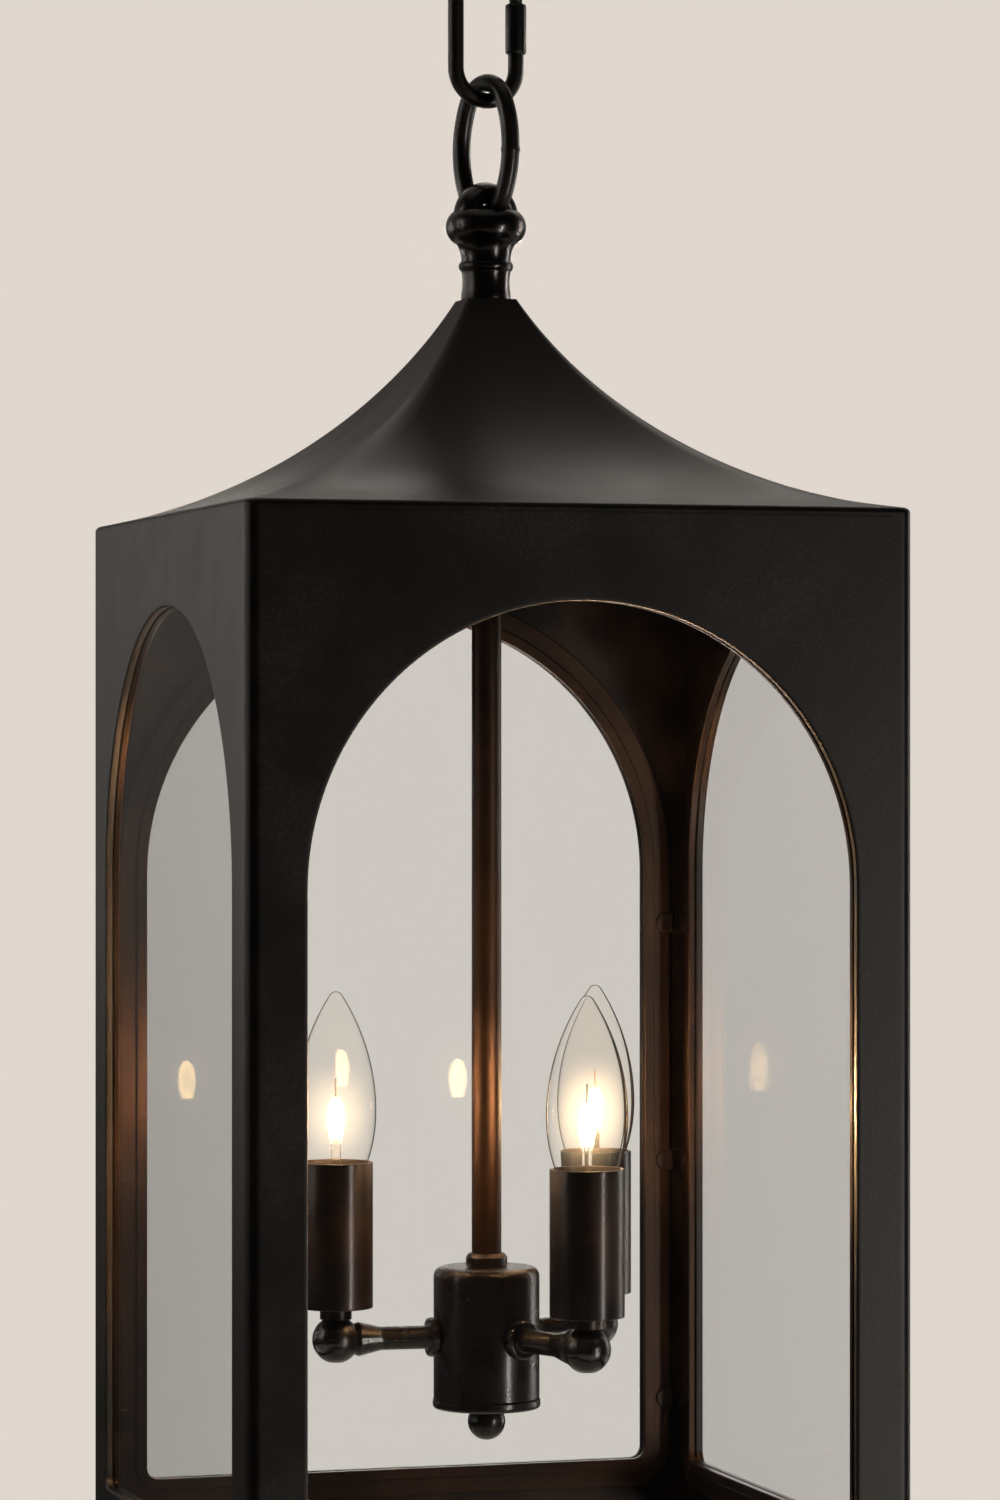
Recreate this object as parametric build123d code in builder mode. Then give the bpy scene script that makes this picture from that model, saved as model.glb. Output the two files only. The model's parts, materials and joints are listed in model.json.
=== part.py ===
from build123d import *
import math
import os

os.makedirs("parts", exist_ok=True)

# Fits
RUN_GAP = 0.3
SLIP_FIT = 0.1

# Quick link that hangs on the ceiling hook
QUICK_WIRE = 6.5
QUICK_WIDTH = 33
QUICK_LENGTH = 70
QUICK_AZIMUTH = 5
QUICK_SPIGOT = 5.6
SLEEVE_DIAMETER = 8.7
SLEEVE_LENGTH = 20.5
SLEEVE_FOOT = 23
SLEEVE_TRAVEL = 9.8
SPIGOT_LENGTH = 4.2

# Oval chain link
LINK_WIRE = 7.4
LINK_WIDTH = 41
LINK_LENGTH = 61.2
LINK_END_RADIUS = 13.5
LINK_AZIMUTH = -70

# Turned loop finial
EYE_BAR_RADIAL = 9
EYE_BAR_AXIAL = 13
EYE_ARCH_RADIUS = 10
FINIAL_HEIGHT = 48.5
FINIAL_BASE_RADIUS = 10.15
FINIAL_FOOT = 2.6
FINIAL_NECK_RADIUS = 9.7
FINIAL_NECK_TOP = 11.8
BEAD_RADIUS = 11.2
BEAD_TOP = 15.9
BEAD_SEAT_RADIUS = 10.2
BULGE_RADIUS = 16.5
BULGE_FOOT = 23
BULGE_FOOT_RADIUS = 12.05
BULGE_RIM = 36.2
BULGE_RIM_RADIUS = 13.6
DISH_RADIUS = 9
EYE_FLOOR = 31.2
EYE_FOOT_DEPTH = 6

# Body
BODY_WIDTH = 270
BODY_HEIGHT = 430.5
WALL = 3
CORNER_RADIUS = 5
POST_WIDTH = 24
HEADER = 34.5
BOTTOM_RAIL = 26
SILL_CORNER = 5
RETURN_FLANGE = 12.5
ARCH_EDGE_RADIUS = 0.8

# Roof
ROOF_HEIGHT = 92.5
ROOF_RIM = 3
ROOF_EDGE_RADIUS = 2.4
ROOF_TOP_HALF = 10.5
ROOF_CURVE_RADIUS = 180
ROOF_SHEET = 2
ROOF_LEDGE = 16
ROOF_BOSS_DEPTH = 12

# Glazing
GLASS = 3
GLASS_OVERLAP = 8
FRAME_LIP = 1.6
FRAME_BEAD = 2.8
FRAME_BEAD_WIDTH = 4.5
FRAME_WIDTH = 12
GLASS_EDGE_GAP = 0.5
CLIP_WIDTH = 8.5
CLIP_SHEET = 1
CLIP_FOOT = 4
CLIP_REACH = 6.5
CLIP_SPACING = 105

# Stem and its roof fixing
STEM_DIAMETER = 12.2
STEM_BORE = 9
STEM_ENGAGEMENT = 13.5
WASHER_DIAMETER = 26
WASHER_THICKNESS = 1.5
NUT_RADIUS = 9.8
NUT_HEIGHT = 6
COLLAR_DIAMETER = 17
COLLAR_HEIGHT = 5.5
COLLAR_FILLET = 1.8

# Hub
HUB_DIAMETER = 43.5
HUB_TOP = -304
HUB_HEIGHT = 58
HUB_WALL = 1.8
HUB_FILLET = 4
HUB_CROWN = 4
CAP_THICKNESS = 4
CAP_LIP = 0.4
CAP_FILLET = 1.5
CAP_SPIGOT = 3
FINIAL_BALL_RADIUS = 7.7
FINIAL_BALL_DROP = 5.5
BALL_SPIGOT_LENGTH = 12
STEM_END_GAP = 3.5

# Arms and elbows
ARM_AZIMUTHS = (176, 27, -67)
ARM_Z = -332.5
ARM_DIAMETER = 9.5
ARM_BORE = 6.5
ARM_INSIDE = 5
ARM_COLLAR_RADIUS = 8
ARM_COLLAR_LENGTH = 3.3
ARM_COLLAR_FILLET = 1.2
FERRULE_RADIUS = 7
FERRULE_LENGTH = 9
ARM_NUT_RADIUS = 6.9
ARM_NUT_HEIGHT = 2.6
CANDLE_RADIUS = 63
BALL_RADIUS = 9.65
BALL_FLAT_BELOW = 9.1
BALL_FLAT_ABOVE = 8.4
NIPPLE_SEAT = 4.5
NECK_RADIUS = 6.5

# Candle sleeve, lampholder and bulb
CANDLE_FOOT = -319.5
CANDLE_DIAMETER = 30.2
CANDLE_HEIGHT = 59.5
CANDLE_WALL = 1.2
HOLDER_RADIUS = 12.5
HOLDER_HEIGHT = 41.8
HOLDER_BORE_DEPTH = 21.6
NIPPLE_IN_HOLDER = 7
SHELL_RADIUS = 7.9
SHELL_WALL = 0.55
CONTACT_RADIUS = 2.5
CONTACT_HEIGHT = 0.8
CAP_INSULATOR = 3.4
CAP_TIP = 1
CAP_TIP_RADIUS = 2
BULB_RADIUS = 16.5
BULB_NECK_RADIUS = 6.6
BULB_WAIST = 34
BULB_TAPER = 49
BULB_TIP_RADIUS = 3
BULB_GLASS = 0.9
BULB_ABOVE_HOLDER = 3
MOUNT_RADIUS = 2.4
MOUNT_FLARE = 5
MOUNT_FLARE_HEIGHT = 4
MOUNT_HEIGHT = 26
POST_WIRE = 0.4
POST_SPREAD = 4.5
POST_HEIGHT = 24

# Leads
LEAD_DIAMETER = 3
LEAD_BEND = 5
LEAD_WINDOW = 7

# Heights that follow from the hanging chain, with the hook's bearing point at zero
quick_radius = (QUICK_WIDTH - QUICK_WIRE) / 2
quick_top = QUICK_WIRE / 2
quick_bottom = quick_top - (QUICK_LENGTH - QUICK_WIRE)
quick_foot = quick_bottom - QUICK_WIRE / 2
link_top = quick_bottom + (QUICK_WIRE + LINK_WIRE) / 2 + RUN_GAP
link_bottom = link_top - (LINK_LENGTH - LINK_WIRE)
eye_top = link_bottom + LINK_WIRE / 2 + RUN_GAP + EYE_BAR_RADIAL
finial_base = eye_top - FINIAL_HEIGHT
eave = finial_base - ROOF_HEIGHT
body_bottom = eave - BODY_HEIGHT

# Sizes that follow from the driving ones
opening_half = BODY_WIDTH / 2 - POST_WIDTH
spring_line = eave - HEADER - opening_half
sill = body_bottom + BOTTOM_RAIL
stem_radius = STEM_DIAMETER / 2
stem_bore = STEM_BORE / 2
hub_radius = HUB_DIAMETER / 2
hub_top = eave + HUB_TOP
cap_top = hub_top - HUB_HEIGHT + CAP_THICKNESS
hub_bottom = hub_top - HUB_HEIGHT
arm_z = eave + ARM_Z
arm_radius = ARM_DIAMETER / 2
arm_bore = ARM_BORE / 2
arm_seat = arm_radius + RUN_GAP
candle_foot = eave + CANDLE_FOOT
candle_radius = CANDLE_DIAMETER / 2
holder_foot = candle_foot + CANDLE_WALL
holder_top = holder_foot + HOLDER_HEIGHT
holder_floor = holder_top - HOLDER_BORE_DEPTH
nipple_top = holder_foot + NIPPLE_IN_HOLDER
bulb_base = holder_top + BULB_ABOVE_HOLDER
cap_radius = SHELL_RADIUS - SHELL_WALL - RUN_GAP
contact_top = holder_floor + CONTACT_HEIGHT
lead_offset = stem_bore - RUN_GAP - LEAD_DIAMETER / 2

SIDES = {"front": 0, "right": 90, "rear": 180, "left": 270}
FROM_BELOW = (Align.CENTER, Align.CENTER, Align.MIN)
FROM_ABOVE = (Align.CENTER, Align.CENTER, Align.MAX)


def direction(azimuth):
    """Level unit vector at an azimuth in degrees, measured from +X towards +Y."""
    angle = math.radians(azimuth)
    return Vector(math.cos(angle), math.sin(angle), 0)


def upright_plane(azimuth, height=0):
    """Vertical plane through the axis: x runs out along the azimuth, y runs up."""
    across = direction(azimuth)
    return Plane((0, 0, height), x_dir=across, z_dir=direction(azimuth - 90))


def plan_plane(azimuth, height):
    """Level plane turned with one side of the body, which lies along its -y edge."""
    return Plane((0, 0, height), x_dir=direction(azimuth), z_dir=(0, 0, 1))


def face_plane(azimuth, inset):
    """Plane of one wall, inset from its outer face: x across, y up from the spring line, z outwards."""
    outward = direction(azimuth - 90)
    origin = outward * (BODY_WIDTH / 2 - inset) + Vector(0, 0, spring_line)
    return Plane(origin, x_dir=direction(azimuth), z_dir=outward)


def arched_outline(grow):
    """Round-headed outline of the window opening, grown all round by a margin."""
    half = opening_half + grow
    foot = sill - spring_line - grow
    with BuildSketch() as outline:
        with BuildLine():
            Polyline((-half, 0), (-half, foot), (half, foot), (half, 0))
            ThreePointArc((half, 0), (0, half), (-half, 0))
        make_face()
        fillet(outline.vertices().group_by(Axis.Y)[0], radius=SILL_CORNER + grow)
    return outline.sketch


def mitred_ring(depth):
    """Plan of one wall with mitred ends: a rounded square ring cut by its two diagonals."""
    with BuildSketch() as ring:
        RectangleRounded(BODY_WIDTH, BODY_WIDTH, CORNER_RADIUS)
        Rectangle(BODY_WIDTH - 2 * depth, BODY_WIDTH - 2 * depth, mode=Mode.SUBTRACT)
        Polygon((0, 0), (-BODY_WIDTH, -BODY_WIDTH), (BODY_WIDTH, -BODY_WIDTH), align=None,
                mode=Mode.INTERSECT)
    return ring.sketch


def bulb_outline(inset):
    """Half section of the bulb's envelope, inset from its outer face: two tangent arcs and a round tip."""
    waist_z = bulb_base + BULB_WAIST
    spread = BULB_RADIUS - BULB_NECK_RADIUS
    lower = (BULB_WAIST**2 + spread**2) / (2 * spread)
    slack = (BULB_TAPER - BULB_TIP_RADIUS)**2 + BULB_RADIUS**2 - BULB_TIP_RADIUS**2
    upper = slack / (2 * (BULB_RADIUS - BULB_TIP_RADIUS))
    tip_centre = waist_z + BULB_TAPER - BULB_TIP_RADIUS
    lower_end = math.asin(BULB_WAIST / (lower - inset))
    upper_end = math.asin((BULB_TAPER - BULB_TIP_RADIUS) / (upper - BULB_TIP_RADIUS))

    def on_arc(radius, angle):
        """Point on an arc whose centre lies level with the waist."""
        reach = BULB_RADIUS - radius + (radius - inset) * math.cos(angle)
        return (reach, waist_z + (radius - inset) * math.sin(angle))

    neck = on_arc(lower, -lower_end)
    waist = (BULB_RADIUS - inset, waist_z)
    shoulder = on_arc(upper, upper_end)
    tip = (0, tip_centre + BULB_TIP_RADIUS - inset)
    half_turn = (math.pi / 2 + upper_end) / 2
    tip_middle = ((BULB_TIP_RADIUS - inset) * math.cos(half_turn),
                  tip_centre + (BULB_TIP_RADIUS - inset) * math.sin(half_turn))
    with BuildSketch() as outline:
        with BuildLine():
            ThreePointArc(neck, on_arc(lower, -lower_end / 2), waist)
            ThreePointArc(waist, on_arc(upper, upper_end / 2), shoulder)
            ThreePointArc(shoulder, tip_middle, tip)
            Polyline(tip, (0, bulb_base), neck)
        make_face()
    return outline.sketch


def save(builder, name):
    """Label one finished piece and write it under the same name."""
    builder.part.label = name
    export_step(builder.part, f"parts/{name}.step")


# Quick link: bent wire with a screwed sleeve over its gap
leg_low = quick_foot + SLEEVE_FOOT - RUN_GAP
leg_high = quick_top - quick_radius
gap_low = leg_low + SPIGOT_LENGTH
gap_high = quick_foot + SLEEVE_FOOT + SLEEVE_TRAVEL
with BuildPart() as quick_link:
    with BuildLine(upright_plane(QUICK_AZIMUTH)) as quick_path:
        bend_z = quick_bottom + quick_radius
        Line((quick_radius, leg_low), (quick_radius, bend_z))
        ThreePointArc((quick_radius, bend_z), (0, quick_bottom), (-quick_radius, bend_z))
        Line((-quick_radius, bend_z), (-quick_radius, leg_high))
        ThreePointArc((-quick_radius, leg_high), (0, quick_top), (quick_radius, leg_high))
    with BuildSketch(Plane(quick_path.line @ 0, z_dir=quick_path.line % 0)):
        Circle(QUICK_WIRE / 2)
    sweep(path=quick_path.line)
    leg_axis = direction(QUICK_AZIMUTH) * quick_radius
    with BuildSketch(Plane(leg_axis + Vector(0, 0, leg_low))):
        Circle(QUICK_SPIGOT / 2)
    extrude(amount=gap_low - leg_low)
    with BuildSketch(Plane(leg_axis + Vector(0, 0, gap_high))):
        Circle(QUICK_SPIGOT / 2)
    extrude(amount=leg_high - gap_high)
save(quick_link, "quick_link")

with BuildPart() as quick_link_sleeve:
    with BuildSketch(Plane(leg_axis + Vector(0, 0, quick_foot + SLEEVE_FOOT))):
        Circle(SLEEVE_DIAMETER / 2)
        Circle(QUICK_SPIGOT / 2 + RUN_GAP, mode=Mode.SUBTRACT)
    extrude(amount=SLEEVE_LENGTH)
    sleeve_rims = quick_link_sleeve.edges().filter_by(GeomType.CIRCLE).sort_by(SortBy.RADIUS)[-2:]
    chamfer(sleeve_rims, length=(SLEEVE_DIAMETER - QUICK_SPIGOT) / 6)
save(quick_link_sleeve, "quick_link_sleeve")

# Chain link: one closed oval of four tangent arcs
link_half = (LINK_WIDTH - LINK_WIRE) / 2
link_rise = (LINK_LENGTH - LINK_WIRE) / 2
end_centre = link_rise - LINK_END_RADIUS
side_radius = (link_half**2 + end_centre**2 - LINK_END_RADIUS**2) / (2 * (link_half - LINK_END_RADIUS))
side_centre = side_radius - link_half
turn = math.atan2(side_centre, end_centre)
join_x = LINK_END_RADIUS * math.sin(turn)
join_y = end_centre + LINK_END_RADIUS * math.cos(turn)
with BuildPart() as chain_link:
    with BuildLine(upright_plane(LINK_AZIMUTH, link_top - link_rise)) as link_path:
        ThreePointArc((join_x, join_y), (0, link_rise), (-join_x, join_y))
        ThreePointArc((-join_x, join_y), (-link_half, 0), (-join_x, -join_y))
        ThreePointArc((-join_x, -join_y), (0, -link_rise), (join_x, -join_y))
        ThreePointArc((join_x, -join_y), (link_half, 0), (join_x, join_y))
    with BuildSketch(Plane(link_path.line @ 0, z_dir=link_path.line % 0)):
        Circle(LINK_WIRE / 2)
    sweep(path=link_path.line)
save(chain_link, "chain_link")

# Loop finial: turned body with an arched eye across its top
with BuildPart() as loop_finial:
    with BuildSketch(upright_plane(LINK_AZIMUTH, finial_base)):
        with BuildLine():
            Polyline((0, 0), (FINIAL_BASE_RADIUS, 0), (FINIAL_BASE_RADIUS, FINIAL_FOOT))
            neck_middle = (FINIAL_FOOT + FINIAL_NECK_TOP) / 2
            ThreePointArc((FINIAL_BASE_RADIUS, FINIAL_FOOT), (FINIAL_NECK_RADIUS, neck_middle),
                          (FINIAL_BASE_RADIUS, FINIAL_NECK_TOP))
            bead_middle = (FINIAL_NECK_TOP + BEAD_TOP) / 2
            ThreePointArc((FINIAL_BASE_RADIUS, FINIAL_NECK_TOP), (BEAD_RADIUS, bead_middle),
                          (BEAD_SEAT_RADIUS, BEAD_TOP))
            throat_radius = BEAD_SEAT_RADIUS + (BULGE_FOOT_RADIUS - BEAD_SEAT_RADIUS) / 6
            ThreePointArc((BEAD_SEAT_RADIUS, BEAD_TOP), (throat_radius, (BEAD_TOP + BULGE_FOOT) / 2),
                          (BULGE_FOOT_RADIUS, BULGE_FOOT))
            ThreePointArc((BULGE_FOOT_RADIUS, BULGE_FOOT), (BULGE_RADIUS, (BULGE_FOOT + BULGE_RIM) / 2),
                          (BULGE_RIM_RADIUS, BULGE_RIM))
            Polyline((BULGE_RIM_RADIUS, BULGE_RIM), (DISH_RADIUS, EYE_FLOOR), (0, EYE_FLOOR), (0, 0))
        make_face()
    revolve(axis=Axis.Z)
    arch_z = eye_top - EYE_BAR_RADIAL / 2 - EYE_ARCH_RADIUS
    with BuildLine(upright_plane(LINK_AZIMUTH + 90, arch_z)) as eye_path:
        Line((-EYE_ARCH_RADIUS, -EYE_FOOT_DEPTH), (-EYE_ARCH_RADIUS, 0))
        ThreePointArc((-EYE_ARCH_RADIUS, 0), (0, EYE_ARCH_RADIUS), (EYE_ARCH_RADIUS, 0))
        Line((EYE_ARCH_RADIUS, 0), (EYE_ARCH_RADIUS, -EYE_FOOT_DEPTH))
    with BuildSketch(Plane(eye_path.line @ 0, x_dir=direction(LINK_AZIMUTH + 90), z_dir=(0, 0, 1))):
        Ellipse(EYE_BAR_RADIAL / 2, EYE_BAR_AXIAL / 2)
    sweep(path=eye_path.line)
    with Locations((0, 0, finial_base)):
        Cylinder(stem_radius + SLIP_FIT, STEM_ENGAGEMENT, align=FROM_BELOW, mode=Mode.SUBTRACT)
        Cylinder(stem_bore, EYE_FLOOR, align=FROM_BELOW, mode=Mode.SUBTRACT)
save(loop_finial, "loop_finial")


# Roof: concave square pyramid, the common part of two curved prisms
def roof_outline():
    """Section of the roof through the middle of two sides, with y up from the eave."""
    half = BODY_WIDTH / 2
    with BuildSketch() as outline:
        with BuildLine():
            Polyline((-half, ROOF_RIM), (-half, 0), (half, 0), (half, ROOF_RIM))
            RadiusArc((half, ROOF_RIM), (ROOF_TOP_HALF, ROOF_HEIGHT), ROOF_CURVE_RADIUS)
            Line((ROOF_TOP_HALF, ROOF_HEIGHT), (-ROOF_TOP_HALF, ROOF_HEIGHT))
            RadiusArc((-ROOF_TOP_HALF, ROOF_HEIGHT), (-half, ROOF_RIM), ROOF_CURVE_RADIUS)
        make_face()
        fillet(outline.vertices().group_by(Axis.Y)[1], radius=ROOF_EDGE_RADIUS)
    return outline.sketch


def roof_hollow():
    """Section of the space under the roof's sheet, below the boss and inside the eave ledge."""
    mouth = BODY_WIDTH - 2 * ROOF_LEDGE
    with BuildSketch() as outline:
        add(roof_outline())
        offset(amount=-ROOF_SHEET, mode=Mode.REPLACE)
        with Locations((0, -ROOF_SHEET)):
            Rectangle(mouth, 2 * ROOF_SHEET, align=(Align.CENTER, Align.MIN))
        Rectangle(mouth, ROOF_HEIGHT - ROOF_BOSS_DEPTH, mode=Mode.INTERSECT, align=(Align.CENTER, Align.MIN))
    return outline.sketch


with BuildPart() as roof_space:
    with BuildSketch(upright_plane(0, eave)):
        add(roof_hollow())
    extrude(amount=BODY_WIDTH, both=True)
    with BuildSketch(upright_plane(90, eave)):
        add(roof_hollow())
    extrude(amount=BODY_WIDTH, both=True, mode=Mode.INTERSECT)

with BuildPart() as roof:
    with BuildSketch(upright_plane(0, eave)):
        add(roof_outline())
    extrude(amount=BODY_WIDTH, both=True)
    with BuildSketch(upright_plane(90, eave)):
        add(roof_outline())
    extrude(amount=BODY_WIDTH, both=True, mode=Mode.INTERSECT)
    with BuildSketch(Plane.XY.offset(eave)):
        RectangleRounded(BODY_WIDTH, BODY_WIDTH, CORNER_RADIUS)
    extrude(amount=ROOF_HEIGHT, mode=Mode.INTERSECT)
    add(roof_space.part, mode=Mode.SUBTRACT)
    with Locations((0, 0, finial_base)):
        Cylinder(stem_radius + SLIP_FIT, 2 * ROOF_BOSS_DEPTH, mode=Mode.SUBTRACT)
save(roof, "roof")

# Walls: four mitred panels with an arched opening and a return flange at the foot
for side, azimuth in SIDES.items():
    with BuildPart() as wall:
        with BuildSketch(plan_plane(azimuth, body_bottom)):
            add(mitred_ring(WALL))
        extrude(amount=BODY_HEIGHT)
        with BuildSketch(plan_plane(azimuth, body_bottom)):
            add(mitred_ring(RETURN_FLANGE))
        extrude(amount=WALL)
        with BuildSketch(face_plane(azimuth, 0)):
            add(arched_outline(0))
        extrude(amount=-2 * WALL, mode=Mode.SUBTRACT)
        outer_face = wall.faces().sort_by(Axis((0, 0, 0), direction(azimuth - 90)))[-1]
        fillet(outer_face.inner_wires()[0].edges(), radius=ARCH_EDGE_RADIUS)
    save(wall, f"{side}_wall")

    # Clear pane held against the inside of the wall
    with BuildPart() as pane:
        with BuildSketch(face_plane(azimuth, WALL)):
            add(arched_outline(GLASS_OVERLAP))
        extrude(amount=-GLASS)
    save(pane, f"{side}_pane")

    # Retaining frame: a flange round the pane's edge with a bead along the opening
    with BuildPart() as glazing_frame:
        with BuildSketch(face_plane(azimuth, WALL)):
            add(arched_outline(FRAME_WIDTH))
        extrude(amount=-(GLASS + FRAME_LIP))
        with BuildSketch(face_plane(azimuth, WALL + GLASS)):
            add(arched_outline(FRAME_BEAD_WIDTH))
        extrude(amount=-FRAME_BEAD)
        with BuildSketch(face_plane(azimuth, WALL)):
            add(arched_outline(GLASS_OVERLAP + GLASS_EDGE_GAP))
        extrude(amount=-GLASS, mode=Mode.SUBTRACT)
        with BuildSketch(face_plane(azimuth, WALL)):
            add(arched_outline(0))
        extrude(amount=-2 * (GLASS + FRAME_BEAD), mode=Mode.SUBTRACT)
    save(glazing_frame, f"{side}_glazing_frame")

# Pane clips: bent tabs on the posts that press the retaining frames home
frame_edge = opening_half + FRAME_WIDTH + RUN_GAP
clip_height = GLASS + FRAME_LIP
with BuildPart() as clip:
    with BuildSketch():
        with Locations((frame_edge, 0)):
            Rectangle(CLIP_SHEET + CLIP_FOOT, CLIP_SHEET, align=(Align.MIN, Align.MIN))
            Rectangle(CLIP_SHEET, clip_height + CLIP_SHEET, align=(Align.MIN, Align.MIN))
        with Locations((frame_edge + CLIP_SHEET, clip_height)):
            Rectangle(CLIP_SHEET + CLIP_REACH, CLIP_SHEET, align=(Align.MAX, Align.MIN))
    extrude(amount=CLIP_WIDTH / 2, both=True)
    tab_corners = clip.edges().filter_by(Axis.Y).group_by(Axis.X)[0]
    fillet(tab_corners, radius=CLIP_WIDTH / 2 - SLIP_FIT)

clip_rows = [sill - spring_line + CLIP_SPACING / 4 + row * CLIP_SPACING for row in range(3)]
with BuildPart() as pane_clips:
    for azimuth in SIDES.values():
        for row in clip_rows:
            for hand in (1, -1):
                on_wall = face_plane(azimuth, WALL)
                foot = on_wall.from_local_coords((0, row, 0))
                with Locations(Plane(foot, x_dir=on_wall.x_dir * hand, z_dir=(0, 0, hand))):
                    add(clip.part)
save(pane_clips, "pane_clips")

# Stem with a lead window towards each arm
with BuildPart() as stem:
    stem_foot = cap_top + STEM_END_GAP
    with BuildSketch(Plane.XY.offset(stem_foot)):
        Circle(stem_radius)
        Circle(stem_bore, mode=Mode.SUBTRACT)
    extrude(amount=finial_base + STEM_ENGAGEMENT - stem_foot)
    for azimuth in ARM_AZIMUTHS:
        with BuildSketch(Plane((0, 0, arm_z), z_dir=direction(azimuth))):
            Circle(LEAD_WINDOW / 2)
        extrude(amount=STEM_DIAMETER, mode=Mode.SUBTRACT)
save(stem, "stem")

roof_underside = finial_base - ROOF_BOSS_DEPTH
with BuildPart() as roof_washer:
    with Locations((0, 0, roof_underside)):
        Cylinder(WASHER_DIAMETER / 2, WASHER_THICKNESS, align=FROM_ABOVE)
        Cylinder(stem_radius + SLIP_FIT, WASHER_THICKNESS, align=FROM_ABOVE, mode=Mode.SUBTRACT)
save(roof_washer, "roof_washer")

with BuildPart() as roof_nut:
    with BuildSketch(Plane.XY.offset(roof_underside - WASHER_THICKNESS)):
        RegularPolygon(NUT_RADIUS, 6)
        Circle(stem_radius + SLIP_FIT, mode=Mode.SUBTRACT)
    extrude(amount=-NUT_HEIGHT)
save(roof_nut, "roof_nut")

with BuildPart() as stem_collar:
    with Locations((0, 0, hub_top)):
        Cylinder(COLLAR_DIAMETER / 2, COLLAR_HEIGHT, align=FROM_BELOW)
    fillet(stem_collar.edges().group_by(Axis.Z)[-1], radius=COLLAR_FILLET)
    with Locations((0, 0, hub_top)):
        Cylinder(stem_radius + SLIP_FIT, COLLAR_HEIGHT, align=FROM_BELOW, mode=Mode.SUBTRACT)
save(stem_collar, "stem_collar")

# Hub: drawn cup, screwed-on cap and ball finial
with BuildPart() as hub_body:
    with Locations((0, 0, hub_top)):
        Cylinder(hub_radius, hub_top - cap_top, align=FROM_ABOVE)
    fillet(hub_body.edges().group_by(Axis.Z)[-1], radius=HUB_FILLET)
    with Locations((0, 0, cap_top)):
        Cylinder(hub_radius - HUB_WALL, hub_top - HUB_CROWN - cap_top, align=FROM_BELOW, mode=Mode.SUBTRACT)
    with Locations((0, 0, hub_top)):
        Cylinder(stem_radius + SLIP_FIT, HUB_CROWN, align=FROM_ABOVE, mode=Mode.SUBTRACT)
    for azimuth in ARM_AZIMUTHS:
        with BuildSketch(Plane((0, 0, arm_z), z_dir=direction(azimuth))):
            Circle(arm_radius + SLIP_FIT)
        extrude(amount=HUB_DIAMETER, mode=Mode.SUBTRACT)
save(hub_body, "hub_body")

with BuildPart() as hub_cap:
    with Locations((0, 0, cap_top)):
        Cylinder(hub_radius + CAP_LIP, CAP_THICKNESS, align=FROM_ABOVE)
    fillet(hub_cap.edges().group_by(Axis.Z)[0], radius=CAP_FILLET)
    with Locations((0, 0, cap_top)):
        Cylinder(hub_radius - HUB_WALL - SLIP_FIT, CAP_SPIGOT, align=FROM_BELOW)
        Cylinder(stem_bore, 4 * CAP_THICKNESS, mode=Mode.SUBTRACT)
save(hub_cap, "hub_cap")

with BuildPart() as hub_finial:
    with Locations((0, 0, hub_bottom - FINIAL_BALL_DROP)):
        Sphere(FINIAL_BALL_RADIUS)
    split(bisect_by=Plane.XY.offset(hub_bottom), keep=Keep.BOTTOM)
    with Locations((0, 0, hub_bottom)):
        Cylinder(stem_bore - SLIP_FIT, BALL_SPIGOT_LENGTH, align=FROM_BELOW)
save(hub_finial, "hub_finial")

# Arms, elbows and candles
ball_near = CANDLE_RADIUS - BALL_RADIUS
with BuildPart() as arm_nuts:
    for azimuth in ARM_AZIMUTHS:
        nut_seat = direction(azimuth) * (hub_radius - HUB_WALL - ARM_NUT_HEIGHT - HUB_WALL)
        with BuildSketch(Plane(nut_seat + Vector(0, 0, arm_z), z_dir=direction(azimuth))):
            RegularPolygon(ARM_NUT_RADIUS, 6)
            Circle(arm_radius + SLIP_FIT, mode=Mode.SUBTRACT)
        extrude(amount=ARM_NUT_HEIGHT)
save(arm_nuts, "arm_nuts")

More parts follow.
